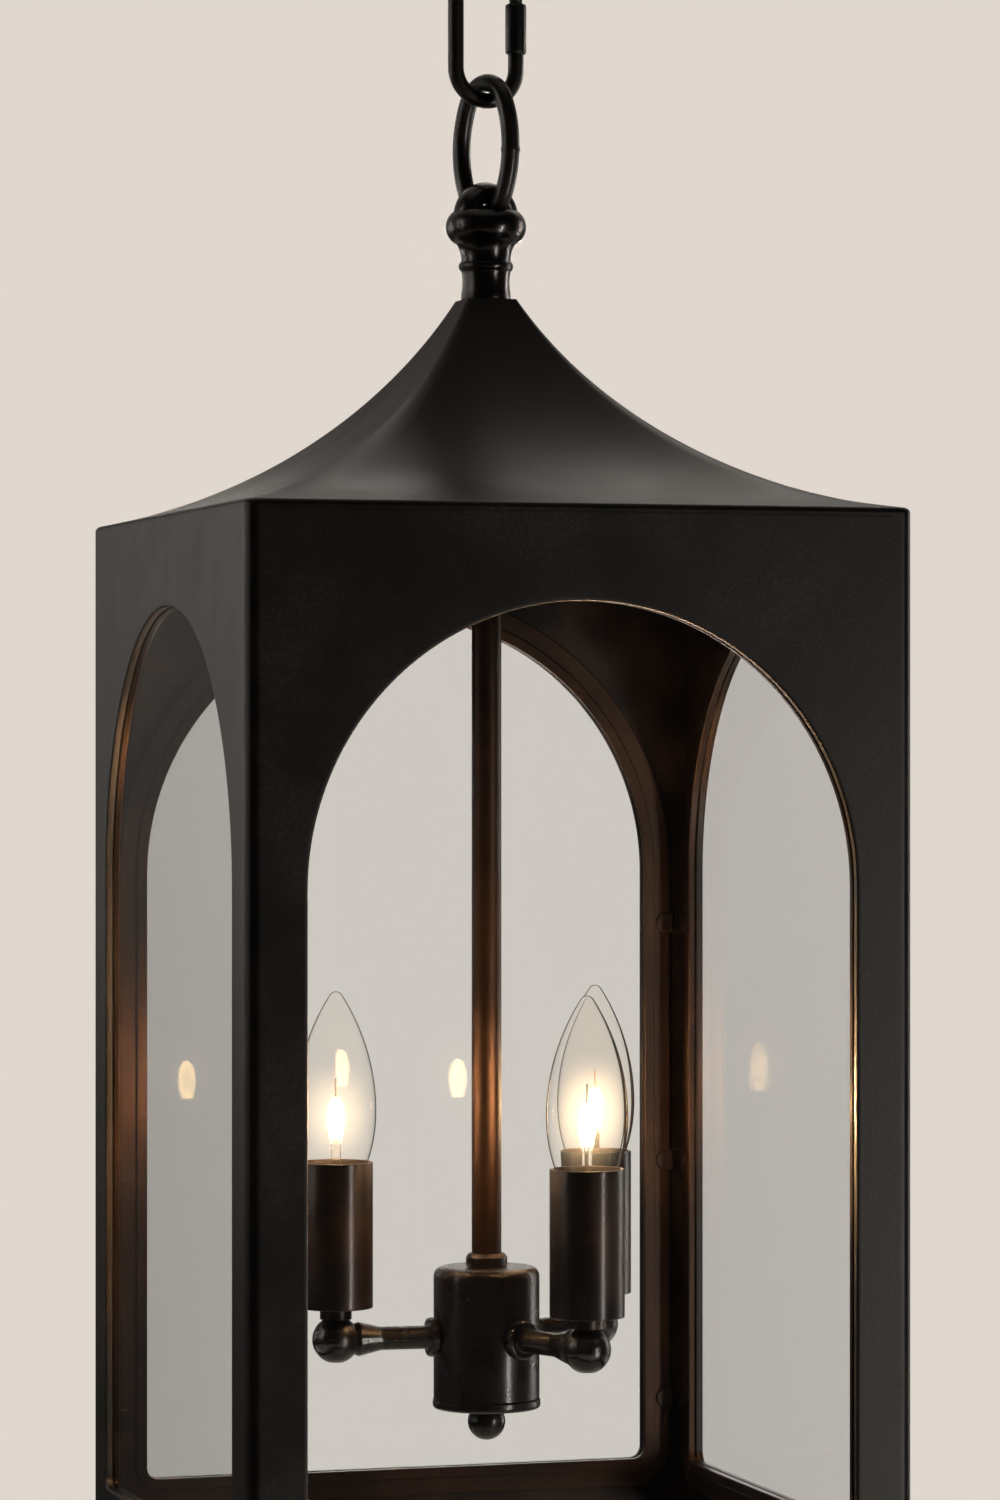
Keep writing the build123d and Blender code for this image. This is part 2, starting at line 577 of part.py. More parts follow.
for number, azimuth in enumerate(ARM_AZIMUTHS, start=1):
    outward = direction(azimuth)
    candle = outward * CANDLE_RADIUS
    arm_axis = Axis((0, 0, arm_z), outward)
    ball_centre = candle + Vector(0, 0, arm_z)

    # Hollow arm with a saddled collar at the hub and a cone up to the elbow
    arm_start = hub_radius - HUB_WALL - ARM_INSIDE
    arm_end = CANDLE_RADIUS - arm_seat
    collar_end = hub_radius + ARM_COLLAR_LENGTH
    with BuildPart() as arm:
        with BuildSketch(upright_plane(azimuth, arm_z)):
            with BuildLine():
                collar_round = (collar_end - ARM_COLLAR_FILLET, ARM_COLLAR_RADIUS)
                collar_face = (collar_end, ARM_COLLAR_RADIUS - ARM_COLLAR_FILLET)
                Polyline((collar_end, 0), (arm_start, 0), (arm_start, ARM_COLLAR_RADIUS), collar_round)
                RadiusArc(collar_round, collar_face, ARM_COLLAR_FILLET)
                Line(collar_face, (collar_end, 0))
            make_face()
            ferrule_start = ball_near - FERRULE_LENGTH
            Polygon((ferrule_start, 0), (ferrule_start, arm_radius), (ball_near, FERRULE_RADIUS),
                    (CANDLE_RADIUS, FERRULE_RADIUS), (CANDLE_RADIUS, 0), align=None)
        revolve(axis=arm_axis)
        with Locations((0, 0, arm_z)):
            Cylinder(hub_radius + SLIP_FIT / 2, 4 * ARM_COLLAR_RADIUS, mode=Mode.SUBTRACT)
        with Locations(ball_centre):
            Sphere(BALL_RADIUS + SLIP_FIT / 2, mode=Mode.SUBTRACT)
        arm_root = Plane(outward * arm_start + Vector(0, 0, arm_z), z_dir=outward)
        with BuildSketch(arm_root):
            Circle(arm_radius)
        extrude(amount=arm_end - arm_start)
        with BuildSketch(arm_root):
            Circle(arm_bore)
        extrude(amount=arm_end - arm_start, mode=Mode.SUBTRACT)
    save(arm, f"arm_{number}")

    # Ball elbow, bored for the arm, the nipple and the lead between them
    with BuildPart() as elbow:
        with Locations(ball_centre):
            Sphere(BALL_RADIUS)
        split(bisect_by=Plane.XY.offset(arm_z - BALL_FLAT_BELOW), keep=Keep.TOP)
        split(bisect_by=Plane.XY.offset(arm_z + BALL_FLAT_ABOVE), keep=Keep.BOTTOM)
        with BuildSketch(Plane(ball_centre - outward * (arm_seat - SLIP_FIT), z_dir=-outward)):
            Circle(arm_radius + SLIP_FIT)
        extrude(amount=BALL_RADIUS, mode=Mode.SUBTRACT)
        with BuildSketch(Plane(ball_centre, z_dir=-outward)):
            Circle(arm_bore)
        extrude(amount=BALL_RADIUS, mode=Mode.SUBTRACT)
        with Locations(ball_centre):
            Cylinder(arm_bore, BALL_RADIUS, align=FROM_BELOW, mode=Mode.SUBTRACT)
        with Locations(ball_centre + Vector(0, 0, NIPPLE_SEAT - SLIP_FIT)):
            Cylinder(arm_radius + SLIP_FIT, BALL_RADIUS, align=FROM_BELOW, mode=Mode.SUBTRACT)
    save(elbow, f"ball_elbow_{number}")

    # Candle sleeve: a cup with the nipple through its floor
    with BuildPart() as candle_sleeve:
        with Locations(candle + Vector(0, 0, candle_foot)):
            Cylinder(candle_radius, CANDLE_HEIGHT, align=FROM_BELOW)
            Cylinder(arm_radius + SLIP_FIT, CANDLE_HEIGHT, align=FROM_BELOW, mode=Mode.SUBTRACT)
        with Locations(candle + Vector(0, 0, holder_foot)):
            Cylinder(candle_radius - CANDLE_WALL, CANDLE_HEIGHT, align=FROM_BELOW, mode=Mode.SUBTRACT)
        fillet(candle_sleeve.edges().group_by(Axis.Z)[-1], radius=CANDLE_WALL / 3)
    save(candle_sleeve, f"candle_sleeve_{number}")

    with BuildPart() as lampholder:
        with Locations(candle + Vector(0, 0, holder_foot)):
            Cylinder(HOLDER_RADIUS, HOLDER_HEIGHT, align=FROM_BELOW)
            Cylinder(arm_radius + SLIP_FIT, NIPPLE_IN_HOLDER, align=FROM_BELOW, mode=Mode.SUBTRACT)
        with Locations(candle + Vector(0, 0, holder_floor)):
            Cylinder(SHELL_RADIUS + SLIP_FIT, HOLDER_BORE_DEPTH, align=FROM_BELOW, mode=Mode.SUBTRACT)
    save(lampholder, f"lampholder_{number}")

    # Torpedo bulb: blown shell, screw cap, and the glass mount with its filament
    bulb_plane = Plane(candle, x_dir=outward, z_dir=direction(azimuth - 90))
    bulb_axis = Axis(candle, (0, 0, 1))
    with BuildPart() as bulb_glass:
        with BuildSketch(bulb_plane):
            add(bulb_outline(0))
            add(bulb_outline(BULB_GLASS), mode=Mode.SUBTRACT)
        revolve(axis=bulb_axis)
    save(bulb_glass, f"bulb_{number}_glass")

    with BuildPart() as bulb_cap:
        cap_foot = contact_top + RUN_GAP
        with Locations(candle + Vector(0, 0, cap_foot)):
            Cylinder(CAP_TIP_RADIUS, CAP_TIP, align=FROM_BELOW)
        with Locations(candle + Vector(0, 0, cap_foot + CAP_TIP)):
            Cone(2 * CAP_TIP_RADIUS, cap_radius, CAP_INSULATOR, align=FROM_BELOW)
        with Locations(candle + Vector(0, 0, bulb_base)):
            Cylinder(cap_radius, bulb_base - cap_foot - CAP_TIP - CAP_INSULATOR, align=FROM_ABOVE)
    save(bulb_cap, f"bulb_{number}_cap")

    with BuildPart() as bulb_mount:
        mount_top = bulb_base + MOUNT_HEIGHT
        flare_top = bulb_base + MOUNT_FLARE_HEIGHT
        post_foot = mount_top - MOUNT_RADIUS
        post_top = mount_top + POST_HEIGHT
        with BuildSketch(bulb_plane):
            with BuildLine():
                Polyline((MOUNT_RADIUS, mount_top), (0, mount_top), (0, bulb_base), (MOUNT_FLARE, bulb_base),
                         (MOUNT_RADIUS, flare_top), close=True)
            make_face()
        revolve(axis=bulb_axis)
        with BuildLine(bulb_plane) as filament:
            FilletPolyline((-MOUNT_RADIUS / 2, post_foot), (-POST_SPREAD, post_top), (POST_SPREAD, post_top),
                           (MOUNT_RADIUS / 2, post_foot), radius=POST_SPREAD / 3)
        with BuildSketch(Plane(filament.line @ 0, z_dir=filament.line % 0)):
            Circle(POST_WIRE)
        sweep(path=filament.line)
    save(bulb_mount, f"bulb_{number}_mount")

# Small pieces that repeat under every candle
candles = [direction(azimuth) * CANDLE_RADIUS for azimuth in ARM_AZIMUTHS]
with BuildPart() as socket_nipples:
    for candle in candles:
        with Locations(candle + Vector(0, 0, arm_z + NIPPLE_SEAT)):
            Cylinder(arm_radius, nipple_top - arm_z - NIPPLE_SEAT, align=FROM_BELOW)
        with Locations(candle + Vector(0, 0, candle_foot)):
            Cylinder(NECK_RADIUS, candle_foot - arm_z - BALL_FLAT_ABOVE, align=FROM_ABOVE)
        with Locations(candle + Vector(0, 0, arm_z)):
            Cylinder(arm_bore, nipple_top - arm_z, align=FROM_BELOW, mode=Mode.SUBTRACT)
save(socket_nipples, "socket_nipples")

with BuildPart() as screw_shells:
    for candle in candles:
        with BuildSketch(Plane(candle + Vector(0, 0, contact_top))):
            Circle(SHELL_RADIUS)
            Circle(SHELL_RADIUS - SHELL_WALL, mode=Mode.SUBTRACT)
        extrude(amount=holder_top - contact_top)
save(screw_shells, "screw_shells")

with BuildPart() as centre_contacts:
    for candle in candles:
        with Locations(candle + Vector(0, 0, holder_floor)):
            Cylinder(CONTACT_RADIUS, CONTACT_HEIGHT, align=FROM_BELOW)
save(centre_contacts, "centre_contacts")

# Leads from the loop's wireway down the stem, out along each arm and up to its lampholder
with BuildPart() as lamp_leads:
    for azimuth in ARM_AZIMUTHS:
        with BuildLine(upright_plane(azimuth)) as lead_path:
            FilletPolyline((lead_offset, finial_base + EYE_FLOOR), (lead_offset, arm_z),
                           (CANDLE_RADIUS, arm_z), (CANDLE_RADIUS, nipple_top), radius=LEAD_BEND)
        with BuildSketch(Plane(lead_path.line @ 0, z_dir=lead_path.line % 0)):
            Circle(LEAD_DIAMETER / 2)
        sweep(path=lead_path.line)
save(lamp_leads, "lamp_leads")
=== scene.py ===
import json
import logging
import math
from dataclasses import dataclass
from enum import Enum

import bmesh
import bpy
import numpy as np
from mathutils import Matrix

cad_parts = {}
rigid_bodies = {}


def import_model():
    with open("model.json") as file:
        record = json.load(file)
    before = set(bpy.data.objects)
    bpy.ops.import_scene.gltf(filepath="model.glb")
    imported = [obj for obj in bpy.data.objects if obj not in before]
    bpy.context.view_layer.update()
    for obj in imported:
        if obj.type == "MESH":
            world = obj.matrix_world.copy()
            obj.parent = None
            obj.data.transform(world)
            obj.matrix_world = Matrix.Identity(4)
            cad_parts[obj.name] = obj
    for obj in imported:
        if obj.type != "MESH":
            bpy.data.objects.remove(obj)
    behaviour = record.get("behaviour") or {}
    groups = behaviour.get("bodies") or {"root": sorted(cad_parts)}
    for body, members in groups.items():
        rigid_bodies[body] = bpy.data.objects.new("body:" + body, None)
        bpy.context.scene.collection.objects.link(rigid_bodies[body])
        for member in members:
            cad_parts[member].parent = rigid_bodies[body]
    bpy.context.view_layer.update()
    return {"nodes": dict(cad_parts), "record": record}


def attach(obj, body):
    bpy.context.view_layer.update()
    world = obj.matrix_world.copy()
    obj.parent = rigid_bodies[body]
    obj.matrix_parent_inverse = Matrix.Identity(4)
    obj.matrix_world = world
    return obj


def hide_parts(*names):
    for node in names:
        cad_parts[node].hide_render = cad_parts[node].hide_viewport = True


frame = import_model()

LOG = logging.getLogger("lantern")
MM = 0.001
TAU = 2 * math.pi
UP = np.array([0.0, 0.0, 1.0])
MIRROR = np.array([-1.0, 1.0])
SAME = 1e-6
ARM_AZIMUTHS = (176, 27, -67)
ARM_REACH = 63.0
GLOW_Z = -0.476
Point = tuple[float, float]
Triple = tuple[float, float, float]


class Body(Enum):
    """The rigid bodies that the pieces ride on, apart from the numbered bulbs."""

    HANGER = "hanger"
    SLEEVE = "sleeve"
    LINK = "link"
    LANTERN = "lantern"


class Side(Enum):
    """The four sides of the body, with the azimuth that each wall is turned by."""

    FRONT = 0
    RIGHT = 90
    REAR = 180
    LEFT = 270

    @property
    def label(self) -> str:
        """Name of the side as the nodes spell it."""
        return self.name.lower()


class Slot(Enum):
    """Material slots of the record."""

    BRONZE = "dark_bronze"
    CHAIN = "chain_bronze"
    STEEL = "plated_steel"
    BRASS = "socket_brass"
    HOLDER = "holder_plastic"
    LEAD = "lead_jacket"
    PANE = "clear_glass"
    BULB = "bulb_glass"


def direction(azimuth: float) -> np.ndarray:
    """Level unit vector at an azimuth in degrees, measured from +X towards +Y."""
    angle = math.radians(azimuth)
    return np.array([math.cos(angle), math.sin(angle), 0.0])


def column(across: float, heights: np.ndarray) -> np.ndarray:
    """Points of an upright line: one place across at each height."""
    return np.stack([np.full(len(heights), across), heights], axis=1)


def row(places: np.ndarray, height: float) -> np.ndarray:
    """Points of a level line: each place across at one height."""
    return np.stack([places, np.full(len(places), height)], axis=1)


def upright(flat: np.ndarray, azimuth: float, lift: float = 0.0) -> np.ndarray:
    """Stands a flat line up: its first column runs along the azimuth, its second, plus the lift, upwards."""
    return flat[:, :1] * direction(azimuth) + (flat[:, 1:] + lift) * UP


def arc(centre: Point, radius: float, start: float, end: float, count: int) -> np.ndarray:
    """Points of a circular arc: centre + radius (cos a, sin a), with a running evenly from start to end.

    Args:
        centre: Centre of the circle in the plane.
        radius: Radius of the circle.
        start: First angle in degrees.
        end: Last angle in degrees.
        count: Number of points.

    Returns:
        Array of count rows with two columns.
    """
    angle = np.radians(np.linspace(start, end, count))
    return np.stack([centre[0] + radius * np.cos(angle), centre[1] + radius * np.sin(angle)], axis=1)


def three_point_arc(first: Point, middle: Point, last: Point, count: int) -> np.ndarray:
    """Points of the circle through three points, from the first past the middle to the last.

    Args:
        first: Start of the arc.
        middle: Any point between.
        last: End of the arc.
        count: Number of points.

    Returns:
        Array of count rows with two columns.
    """
    a, b, c = (np.asarray(point, float) for point in (first, middle, last))
    rows = 2 * np.array([b - a, c - a])
    centre = np.linalg.solve(rows, np.array([b @ b - a @ a, c @ c - a @ a]))
    angles = [math.atan2(*(point - centre)[::-1]) for point in (a, b, c)]
    sweep = (angles[2] - angles[0]) % TAU
    if (angles[1] - angles[0]) % TAU > sweep:
        sweep -= TAU
    start = math.degrees(angles[0])
    return arc(tuple(centre), float(np.linalg.norm(a - centre)), start, start + math.degrees(sweep), count)


def rounded(corners: list[Triple], steps: int = 6) -> np.ndarray:
    """Open polyline with each inner corner replaced by a tangent arc of its own radius.

    Args:
        corners: Points as x, y and corner radius; the first and last radius are not used.
        steps: Points on each arc.

    Returns:
        Array of points with two columns.
    """
    nearly_straight = math.radians(89)
    run = [np.array([corners[0][:2]], float)]
    for before, here, after in zip(corners[:-2], corners[1:-1], corners[2:]):
        p = np.array(here[:2], float)
        u = np.array(before[:2], float) - p
        v = np.array(after[:2], float) - p
        u /= np.linalg.norm(u)
        v /= np.linalg.norm(v)
        half = math.acos(float(np.clip(u @ v, -1, 1))) / 2
        if here[2] <= 0 or half > nearly_straight:
            run.append(p[None])
            continue
        bisector = (u + v) / np.linalg.norm(u + v)
        centre = p + bisector * here[2] / math.sin(half)
        spread = np.linspace(half - math.pi / 2, math.pi / 2 - half, steps)[:, None]
        toward = u - bisector * (u @ bisector)
        toward /= np.linalg.norm(toward)
        run.append(centre - here[2] * (np.cos(spread) * bisector + np.sin(spread) * toward))
    run.append(np.array([corners[-1][:2]], float))
    return np.concatenate(run)


def turned(profile: np.ndarray, foot: np.ndarray, axis: np.ndarray = UP, segments: int = 96) -> np.ndarray:
    """Surface of revolution: foot + r (cos t, sin t) across the axis + h along it.

    Args:
        profile: Rows of radius and height in millimetres.
        foot: Point on the axis at height zero, in millimetres.
        axis: Unit vector along the axis, upright or level.
        segments: Columns round the axis.

    Returns:
        Grid of points, one row for each point of the profile.
    """
    is_upright = abs(axis[2]) > 0.5
    across = np.array([1.0, 0.0, 0.0]) if is_upright else np.cross(axis, UP)
    across = across / np.linalg.norm(across)
    beside = np.cross(axis, across)
    turn = np.linspace(0, TAU, segments, endpoint=False)
    ring = np.cos(turn)[:, None] * across + np.sin(turn)[:, None] * beside
    return foot + profile[:, 0, None, None] * ring[None] + profile[:, 1, None, None] * axis


def swept(path: np.ndarray, normal: np.ndarray, half_in: np.ndarray, half_out: np.ndarray,
          closed: bool, segments: int) -> np.ndarray:
    """Elliptical section along a flat path: path + a cos t across the plane's normal + b sin t along it.

    Args:
        path: Points of the path in millimetres.
        normal: Unit normal of the path's plane.
        half_in: Half width of the section in the plane at each point.
        half_out: Half width of the section along the normal at each point.
        closed: True if the path's end meets its start.
        segments: Columns round the section.

    Returns:
        Grid of points, one row for each point of the path.
    """
    if closed:
        tangent = np.roll(path, -1, axis=0) - np.roll(path, 1, axis=0)
    else:
        tangent = np.gradient(path, axis=0)
    tangent /= np.linalg.norm(tangent, axis=1, keepdims=True)
    side = np.cross(tangent, normal)
    turn = np.linspace(0, TAU, segments, endpoint=False)
    in_plane = (half_in[:, None] * np.cos(turn))[..., None] * side[:, None]
    off_plane = (half_out[:, None] * np.sin(turn))[..., None] * normal
    return path[:, None] + in_plane + off_plane


def grid_quads(rows: int, columns: int, close_rows: bool, close_columns: bool) -> np.ndarray:
    """Corner numbers of the quads of a grid, wrapped round where a direction closes.

    Args:
        rows: Number of rows.
        columns: Number of columns.
        close_rows: True if the last row joins the first.
        close_columns: True if the last column joins the first.

    Returns:
        Array with four vertex numbers for each quad.
    """
    r = np.arange(rows if close_rows else rows - 1)[:, None]
    c = np.arange(columns if close_columns else columns - 1)[None]
    r2, c2 = (r + 1) % rows, (c + 1) % columns
    quads = np.stack([r * columns + c, r * columns + c2, r2 * columns + c2, r2 * columns + c], axis=-1)
    return quads.reshape(-1, 4)


@dataclass
class Surface:
    """One grid surface of a piece: its points in millimetres and the directions in which it closes."""

    points: np.ndarray
    close_rows: bool = False
    close_columns: bool = True


def make_piece(name: str, surfaces: list[Surface], material: bpy.types.Material,
               sharp: float = 40) -> bpy.types.Object:
    """Puts grid surfaces into one mesh, merges seams and poles, and turns the faces outwards.

    Args:
        name: Name of the piece.
        surfaces: Grid surfaces in millimetres.
        material: Finish of the piece.
        sharp: Angle in degrees above which an edge stays sharp.

    Returns:
        The new object, at the origin.
    """
    merge, sliver = 1e-7, 1e-8
    points, quads, start = [], [], 0
    for surface in surfaces:
        rows, columns = surface.points.shape[:2]
        points.append(surface.points.reshape(-1, 3) * MM)
        quads.append(grid_quads(rows, columns, surface.close_rows, surface.close_columns) + start)
        start += rows * columns
    places, corners = np.concatenate(points), np.concatenate(quads)
    mesh = bpy.data.meshes.new(name)
    mesh.vertices.add(len(places))
    mesh.vertices.foreach_set("co", places.ravel())
    mesh.loops.add(corners.size)
    mesh.loops.foreach_set("vertex_index", corners.ravel().astype(np.int32))
    mesh.polygons.add(len(corners))
    mesh.polygons.foreach_set("loop_start", np.arange(0, corners.size, 4, dtype=np.int32))
    mesh.update(calc_edges=True)
    mesh.validate()
    shape = bmesh.new()
    shape.from_mesh(mesh)
    bmesh.ops.remove_doubles(shape, verts=shape.verts, dist=merge)
    bmesh.ops.dissolve_degenerate(shape, edges=shape.edges, dist=sliver)
    bmesh.ops.recalc_face_normals(shape, faces=shape.faces)
    shape.to_mesh(mesh)
    shape.free()
    mesh.shade_smooth()
    mesh.set_sharp_from_angle(angle=math.radians(sharp))
    mesh.materials.append(material)
    piece = bpy.data.objects.new(name, mesh)
    bpy.context.scene.collection.objects.link(piece)
    LOG.info("%s: %d faces", name, len(mesh.polygons))
    return piece


def place(piece: bpy.types.Object, body: str, slot: Slot, *nodes: str) -> None:
    """Lets a piece ride on a body and lets it stand for its nodes.

    Args:
        piece: The finished piece.
        body: Body that it moves with.
        slot: Material slot of the record; not used.
        *nodes: Frame nodes that it replaces, if any.
    """
    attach(piece, body)
    if nodes:
        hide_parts(*nodes)


@dataclass(frozen=True)
class Ramp:
    """Change of a value from least, at low and below, to most, at high and above."""

    low: float
    high: float
    least: object = 0.0
    most: object = 1.0
    smooth: bool = True


class NodeGraph:
    """Small helper that adds and wires nodes in one tree."""

    def __init__(self, tree: bpy.types.NodeTree) -> None:
        """Keeps the tree that the nodes go into."""
        self.tree = tree

    def add(self, kind: str, inputs: dict | None = None, **settings: object) -> bpy.types.Node:
        """Adds a node, sets its properties and its input values or links.

        Args:
            kind: Blender's identifier of the node.
            inputs: Value or output socket for each named or numbered input.
            **settings: Properties of the node.

        Returns:
            The new node.
        """
        node = self.tree.nodes.new(kind)
        for key, value in settings.items():
            setattr(node, key, value)
        for key, value in (inputs or {}).items():
            self.feed(node.inputs[key], value)
        return node

    def feed(self, socket: bpy.types.NodeSocket, value: object) -> None:
        """Links an output to a socket, or sets the socket's own value.

        Args:
            socket: Input socket of a node.
            value: Output socket of another node, or a plain value.
        """
        if isinstance(value, bpy.types.NodeSocket):
            self.tree.links.new(value, socket)
        else:
            socket.default_value = value

    def blend(self, factor: object, first: object, second: object) -> bpy.types.NodeSocket:
        """Mixes two colours.

        Args:
            factor: Share of the second colour.
            first: Colour at factor 0.
            second: Colour at factor 1.

        Returns:
            The mixed colour.
        """
        node = self.add("ShaderNodeMix", data_type="RGBA")
        factor_socket, first_socket, second_socket = node.inputs[0], node.inputs[6], node.inputs[7]
        self.feed(factor_socket, factor)
        self.feed(first_socket, first)
        self.feed(second_socket, second)
        return node.outputs[2]

    def math(self, operation: str, *values: object) -> bpy.types.NodeSocket:
        """Adds a math node on one to three values and returns its result."""
        return self.add("ShaderNodeMath", dict(enumerate(values)), operation=operation).outputs[0]

    def ramp(self, value: object, ramp: Ramp) -> bpy.types.NodeSocket:
        """Carries a value through a ramp.

        Args:
            value: Socket of the value.
            ramp: Limits of the value and of the result.

        Returns:
            The result.
        """
        limits = {"From Min": ramp.low, "From Max": ramp.high, "To Min": ramp.least, "To Max": ramp.most}
        kind = "SMOOTHSTEP" if ramp.smooth else "LINEAR"
        return self.add("ShaderNodeMapRange", {"Value": value, **limits}, interpolation_type=kind).outputs[0]

    def noise(self, where: object, scale: object, **more: float) -> bpy.types.NodeSocket:
        """Adds a noise texture and returns its grey value."""
        return self.add("ShaderNodeTexNoise", {"Vector": where, "Scale": scale, **more}).outputs["Fac"]

    def coordinates(self, kind: str = "Object") -> bpy.types.NodeSocket:
        """Adds texture coordinates and returns those of one kind."""
        return self.add("ShaderNodeTexCoord").outputs[kind]


def new_group(name: str, inputs: dict[str, float],
              outputs: tuple[str, ...]) -> tuple[NodeGraph, bpy.types.Node, bpy.types.Node]:
    """Starts a shader node group with named number sockets.

    Args:
        name: Name of the group.
        inputs: Default of each number that the group takes.
        outputs: Name of each number that it puts out.

    Returns:
        The group's graph, its input node and its output node.
    """
    tree = bpy.data.node_groups.new(name, "ShaderNodeTree")
    for key, default in inputs.items():
        socket = tree.interface.new_socket(key, in_out="INPUT", socket_type="NodeSocketFloat")
        socket.default_value = default
    for key in outputs:
        tree.interface.new_socket(key, in_out="OUTPUT", socket_type="NodeSocketFloat")
    graph = NodeGraph(tree)
    return graph, graph.add("NodeGroupInput"), graph.add("NodeGroupOutput")


def patina_group() -> bpy.types.NodeTree:
    """Hand-rubbed patina: cloudy mottling, fine brushed specks and rubbed spots.

    Returns:
        Group with a cloud mask, a rub mask, a roughness and a height.
    """
    graph, entry, leave = new_group(
        "hand_rubbed_patina",
        {"Cloud Scale": 22.0, "Speck Scale": 900.0, "Roughness Low": 0.3, "Roughness High": 0.46, "Rub": 0.5},
        ("Cloud", "Rubbed", "Roughness", "Height"))
    given = entry.outputs
    cloud_edge = Ramp(0.35, 0.68)
    spot_edge = Ramp(0.3, 0.46, most=given["Rub"], smooth=False)
    speck_share = 0.35
    gloss = Ramp(0.0, 1.3, given["Roughness Low"], given["Roughness High"], smooth=False)
    where = graph.coordinates()
    cloud = graph.noise(where, given["Cloud Scale"], Detail=4.0, Roughness=0.55)
    speck = graph.noise(where, given["Speck Scale"], Detail=2.0)
    soft = graph.ramp(cloud, cloud_edge)
    spots = graph.ramp(graph.math("MULTIPLY", cloud, speck), spot_edge)
    rough = graph.ramp(graph.math("MULTIPLY_ADD", speck, speck_share, soft), gloss)
    for key, value in (("Cloud", soft), ("Rubbed", spots), ("Roughness", rough), ("Height", speck)):
        graph.feed(leave.inputs[key], value)
    return graph.tree


def smudge_group() -> bpy.types.NodeTree:
    """Faint wipe marks on glass: long upright streaks of slightly higher roughness.

    Returns:
        Group with a roughness.
    """
    graph, entry, leave = new_group("wiped_glass", {"Least": 0.0, "Most": 0.03}, ("Roughness",))
    streak_scale = (30.0, 30.0, 4.0)
    streak_edge = Ramp(0.45, 0.8, entry.outputs["Least"], entry.outputs["Most"], smooth=False)
    stretch = graph.add("ShaderNodeMapping", {"Vector": graph.coordinates(), "Scale": streak_scale})
    streak = graph.noise(stretch.outputs[0], 1.0, Detail=3.0)
    graph.feed(leave.inputs["Roughness"], graph.ramp(streak, streak_edge))
    return graph.tree


def start_material(name: str) -> tuple[bpy.types.Material, NodeGraph, bpy.types.Node]:
    """Starts a node material with one principled shader.

    Args:
        name: Name of the material.

    Returns:
        The material, its graph and its shader.
    """
    material = bpy.data.materials.new(name)
    material.use_nodes = True
    graph = NodeGraph(material.node_tree)
    return material, graph, material.node_tree.nodes["Principled BSDF"]


@dataclass(frozen=True)
class Tones:
    """Colours of a patina: its dark ground, its warm clouds and its rubbed spots."""

    dark: Triple
    warm: Triple
    rubbed: Triple


@dataclass(frozen=True)
class RubbedMetal:
    """Dark metal with a hand-rubbed patina over a warmer ground."""

    name: str
    tones: Tones
    metallic: float = 0.5
    rough: Point = (0.3, 0.46)
    cloud_scale: float = 22.0
    speck_scale: float = 900.0
    rub: float = 0.35
    bump: float = 0.06
    relief: float = 0.0006
    soft_edge: float = 0.0
    lacquer: float = 0.0
    lacquer_rough: float = 0.16

    def build(self, patina: bpy.types.NodeTree) -> bpy.types.Material:
        """Wires the patina into a principled shader.

        Args:
            patina: The shared patina group.

        Returns:
            The finished material.
        """
        material, graph, shader = start_material(self.name)
        skin = graph.add("ShaderNodeGroup", node_tree=patina)
        least, most = self.rough
        for key, value in (("Cloud Scale", self.cloud_scale), ("Speck Scale", self.speck_scale),
                           ("Roughness Low", least), ("Roughness High", most), ("Rub", self.rub)):
            skin.inputs[key].default_value = value
        ground = graph.blend(skin.outputs["Cloud"], (*self.tones.dark, 1.0), (*self.tones.warm, 1.0))
        top = graph.blend(skin.outputs["Rubbed"], ground, (*self.tones.rubbed, 1.0))
        relief = graph.add("ShaderNodeBump", {"Strength": self.bump, "Distance": self.relief,
                                              "Height": skin.outputs["Height"]})
        if self.soft_edge > 0:
            edge = graph.add("ShaderNodeBevel", {"Radius": self.soft_edge}, samples=6)
            graph.feed(relief.inputs["Normal"], edge.outputs[0])
        graph.feed(shader.inputs["Base Color"], top)
        graph.feed(shader.inputs["Roughness"], skin.outputs["Roughness"])
        graph.feed(shader.inputs["Normal"], relief.outputs[0])
        shader.inputs["Metallic"].default_value = self.metallic
        shader.inputs["Coat Weight"].default_value = self.lacquer
        shader.inputs["Coat Roughness"].default_value = self.lacquer_rough
        return material


@dataclass(frozen=True)
class ClearGlass:
    """Clear glass with faint wipe marks."""

    name: str
    tint: Triple
    ior: float
    most: float

    def build(self, smudge: bpy.types.NodeTree) -> bpy.types.Material:
        """Wires the wipe marks into a transmitting shader.

        Args:
            smudge: The shared wipe-mark group.

        Returns:
            The finished material.
        """
        material, graph, shader = start_material(self.name)
        marks = graph.add("ShaderNodeGroup", node_tree=smudge)
        marks.inputs["Most"].default_value = self.most
        graph.feed(shader.inputs["Roughness"], marks.outputs["Roughness"])
        shader.inputs["Base Color"].default_value = (*self.tint, 1.0)
        shader.inputs["Transmission Weight"].default_value = 1.0
        shader.inputs["IOR"].default_value = self.ior
        return material


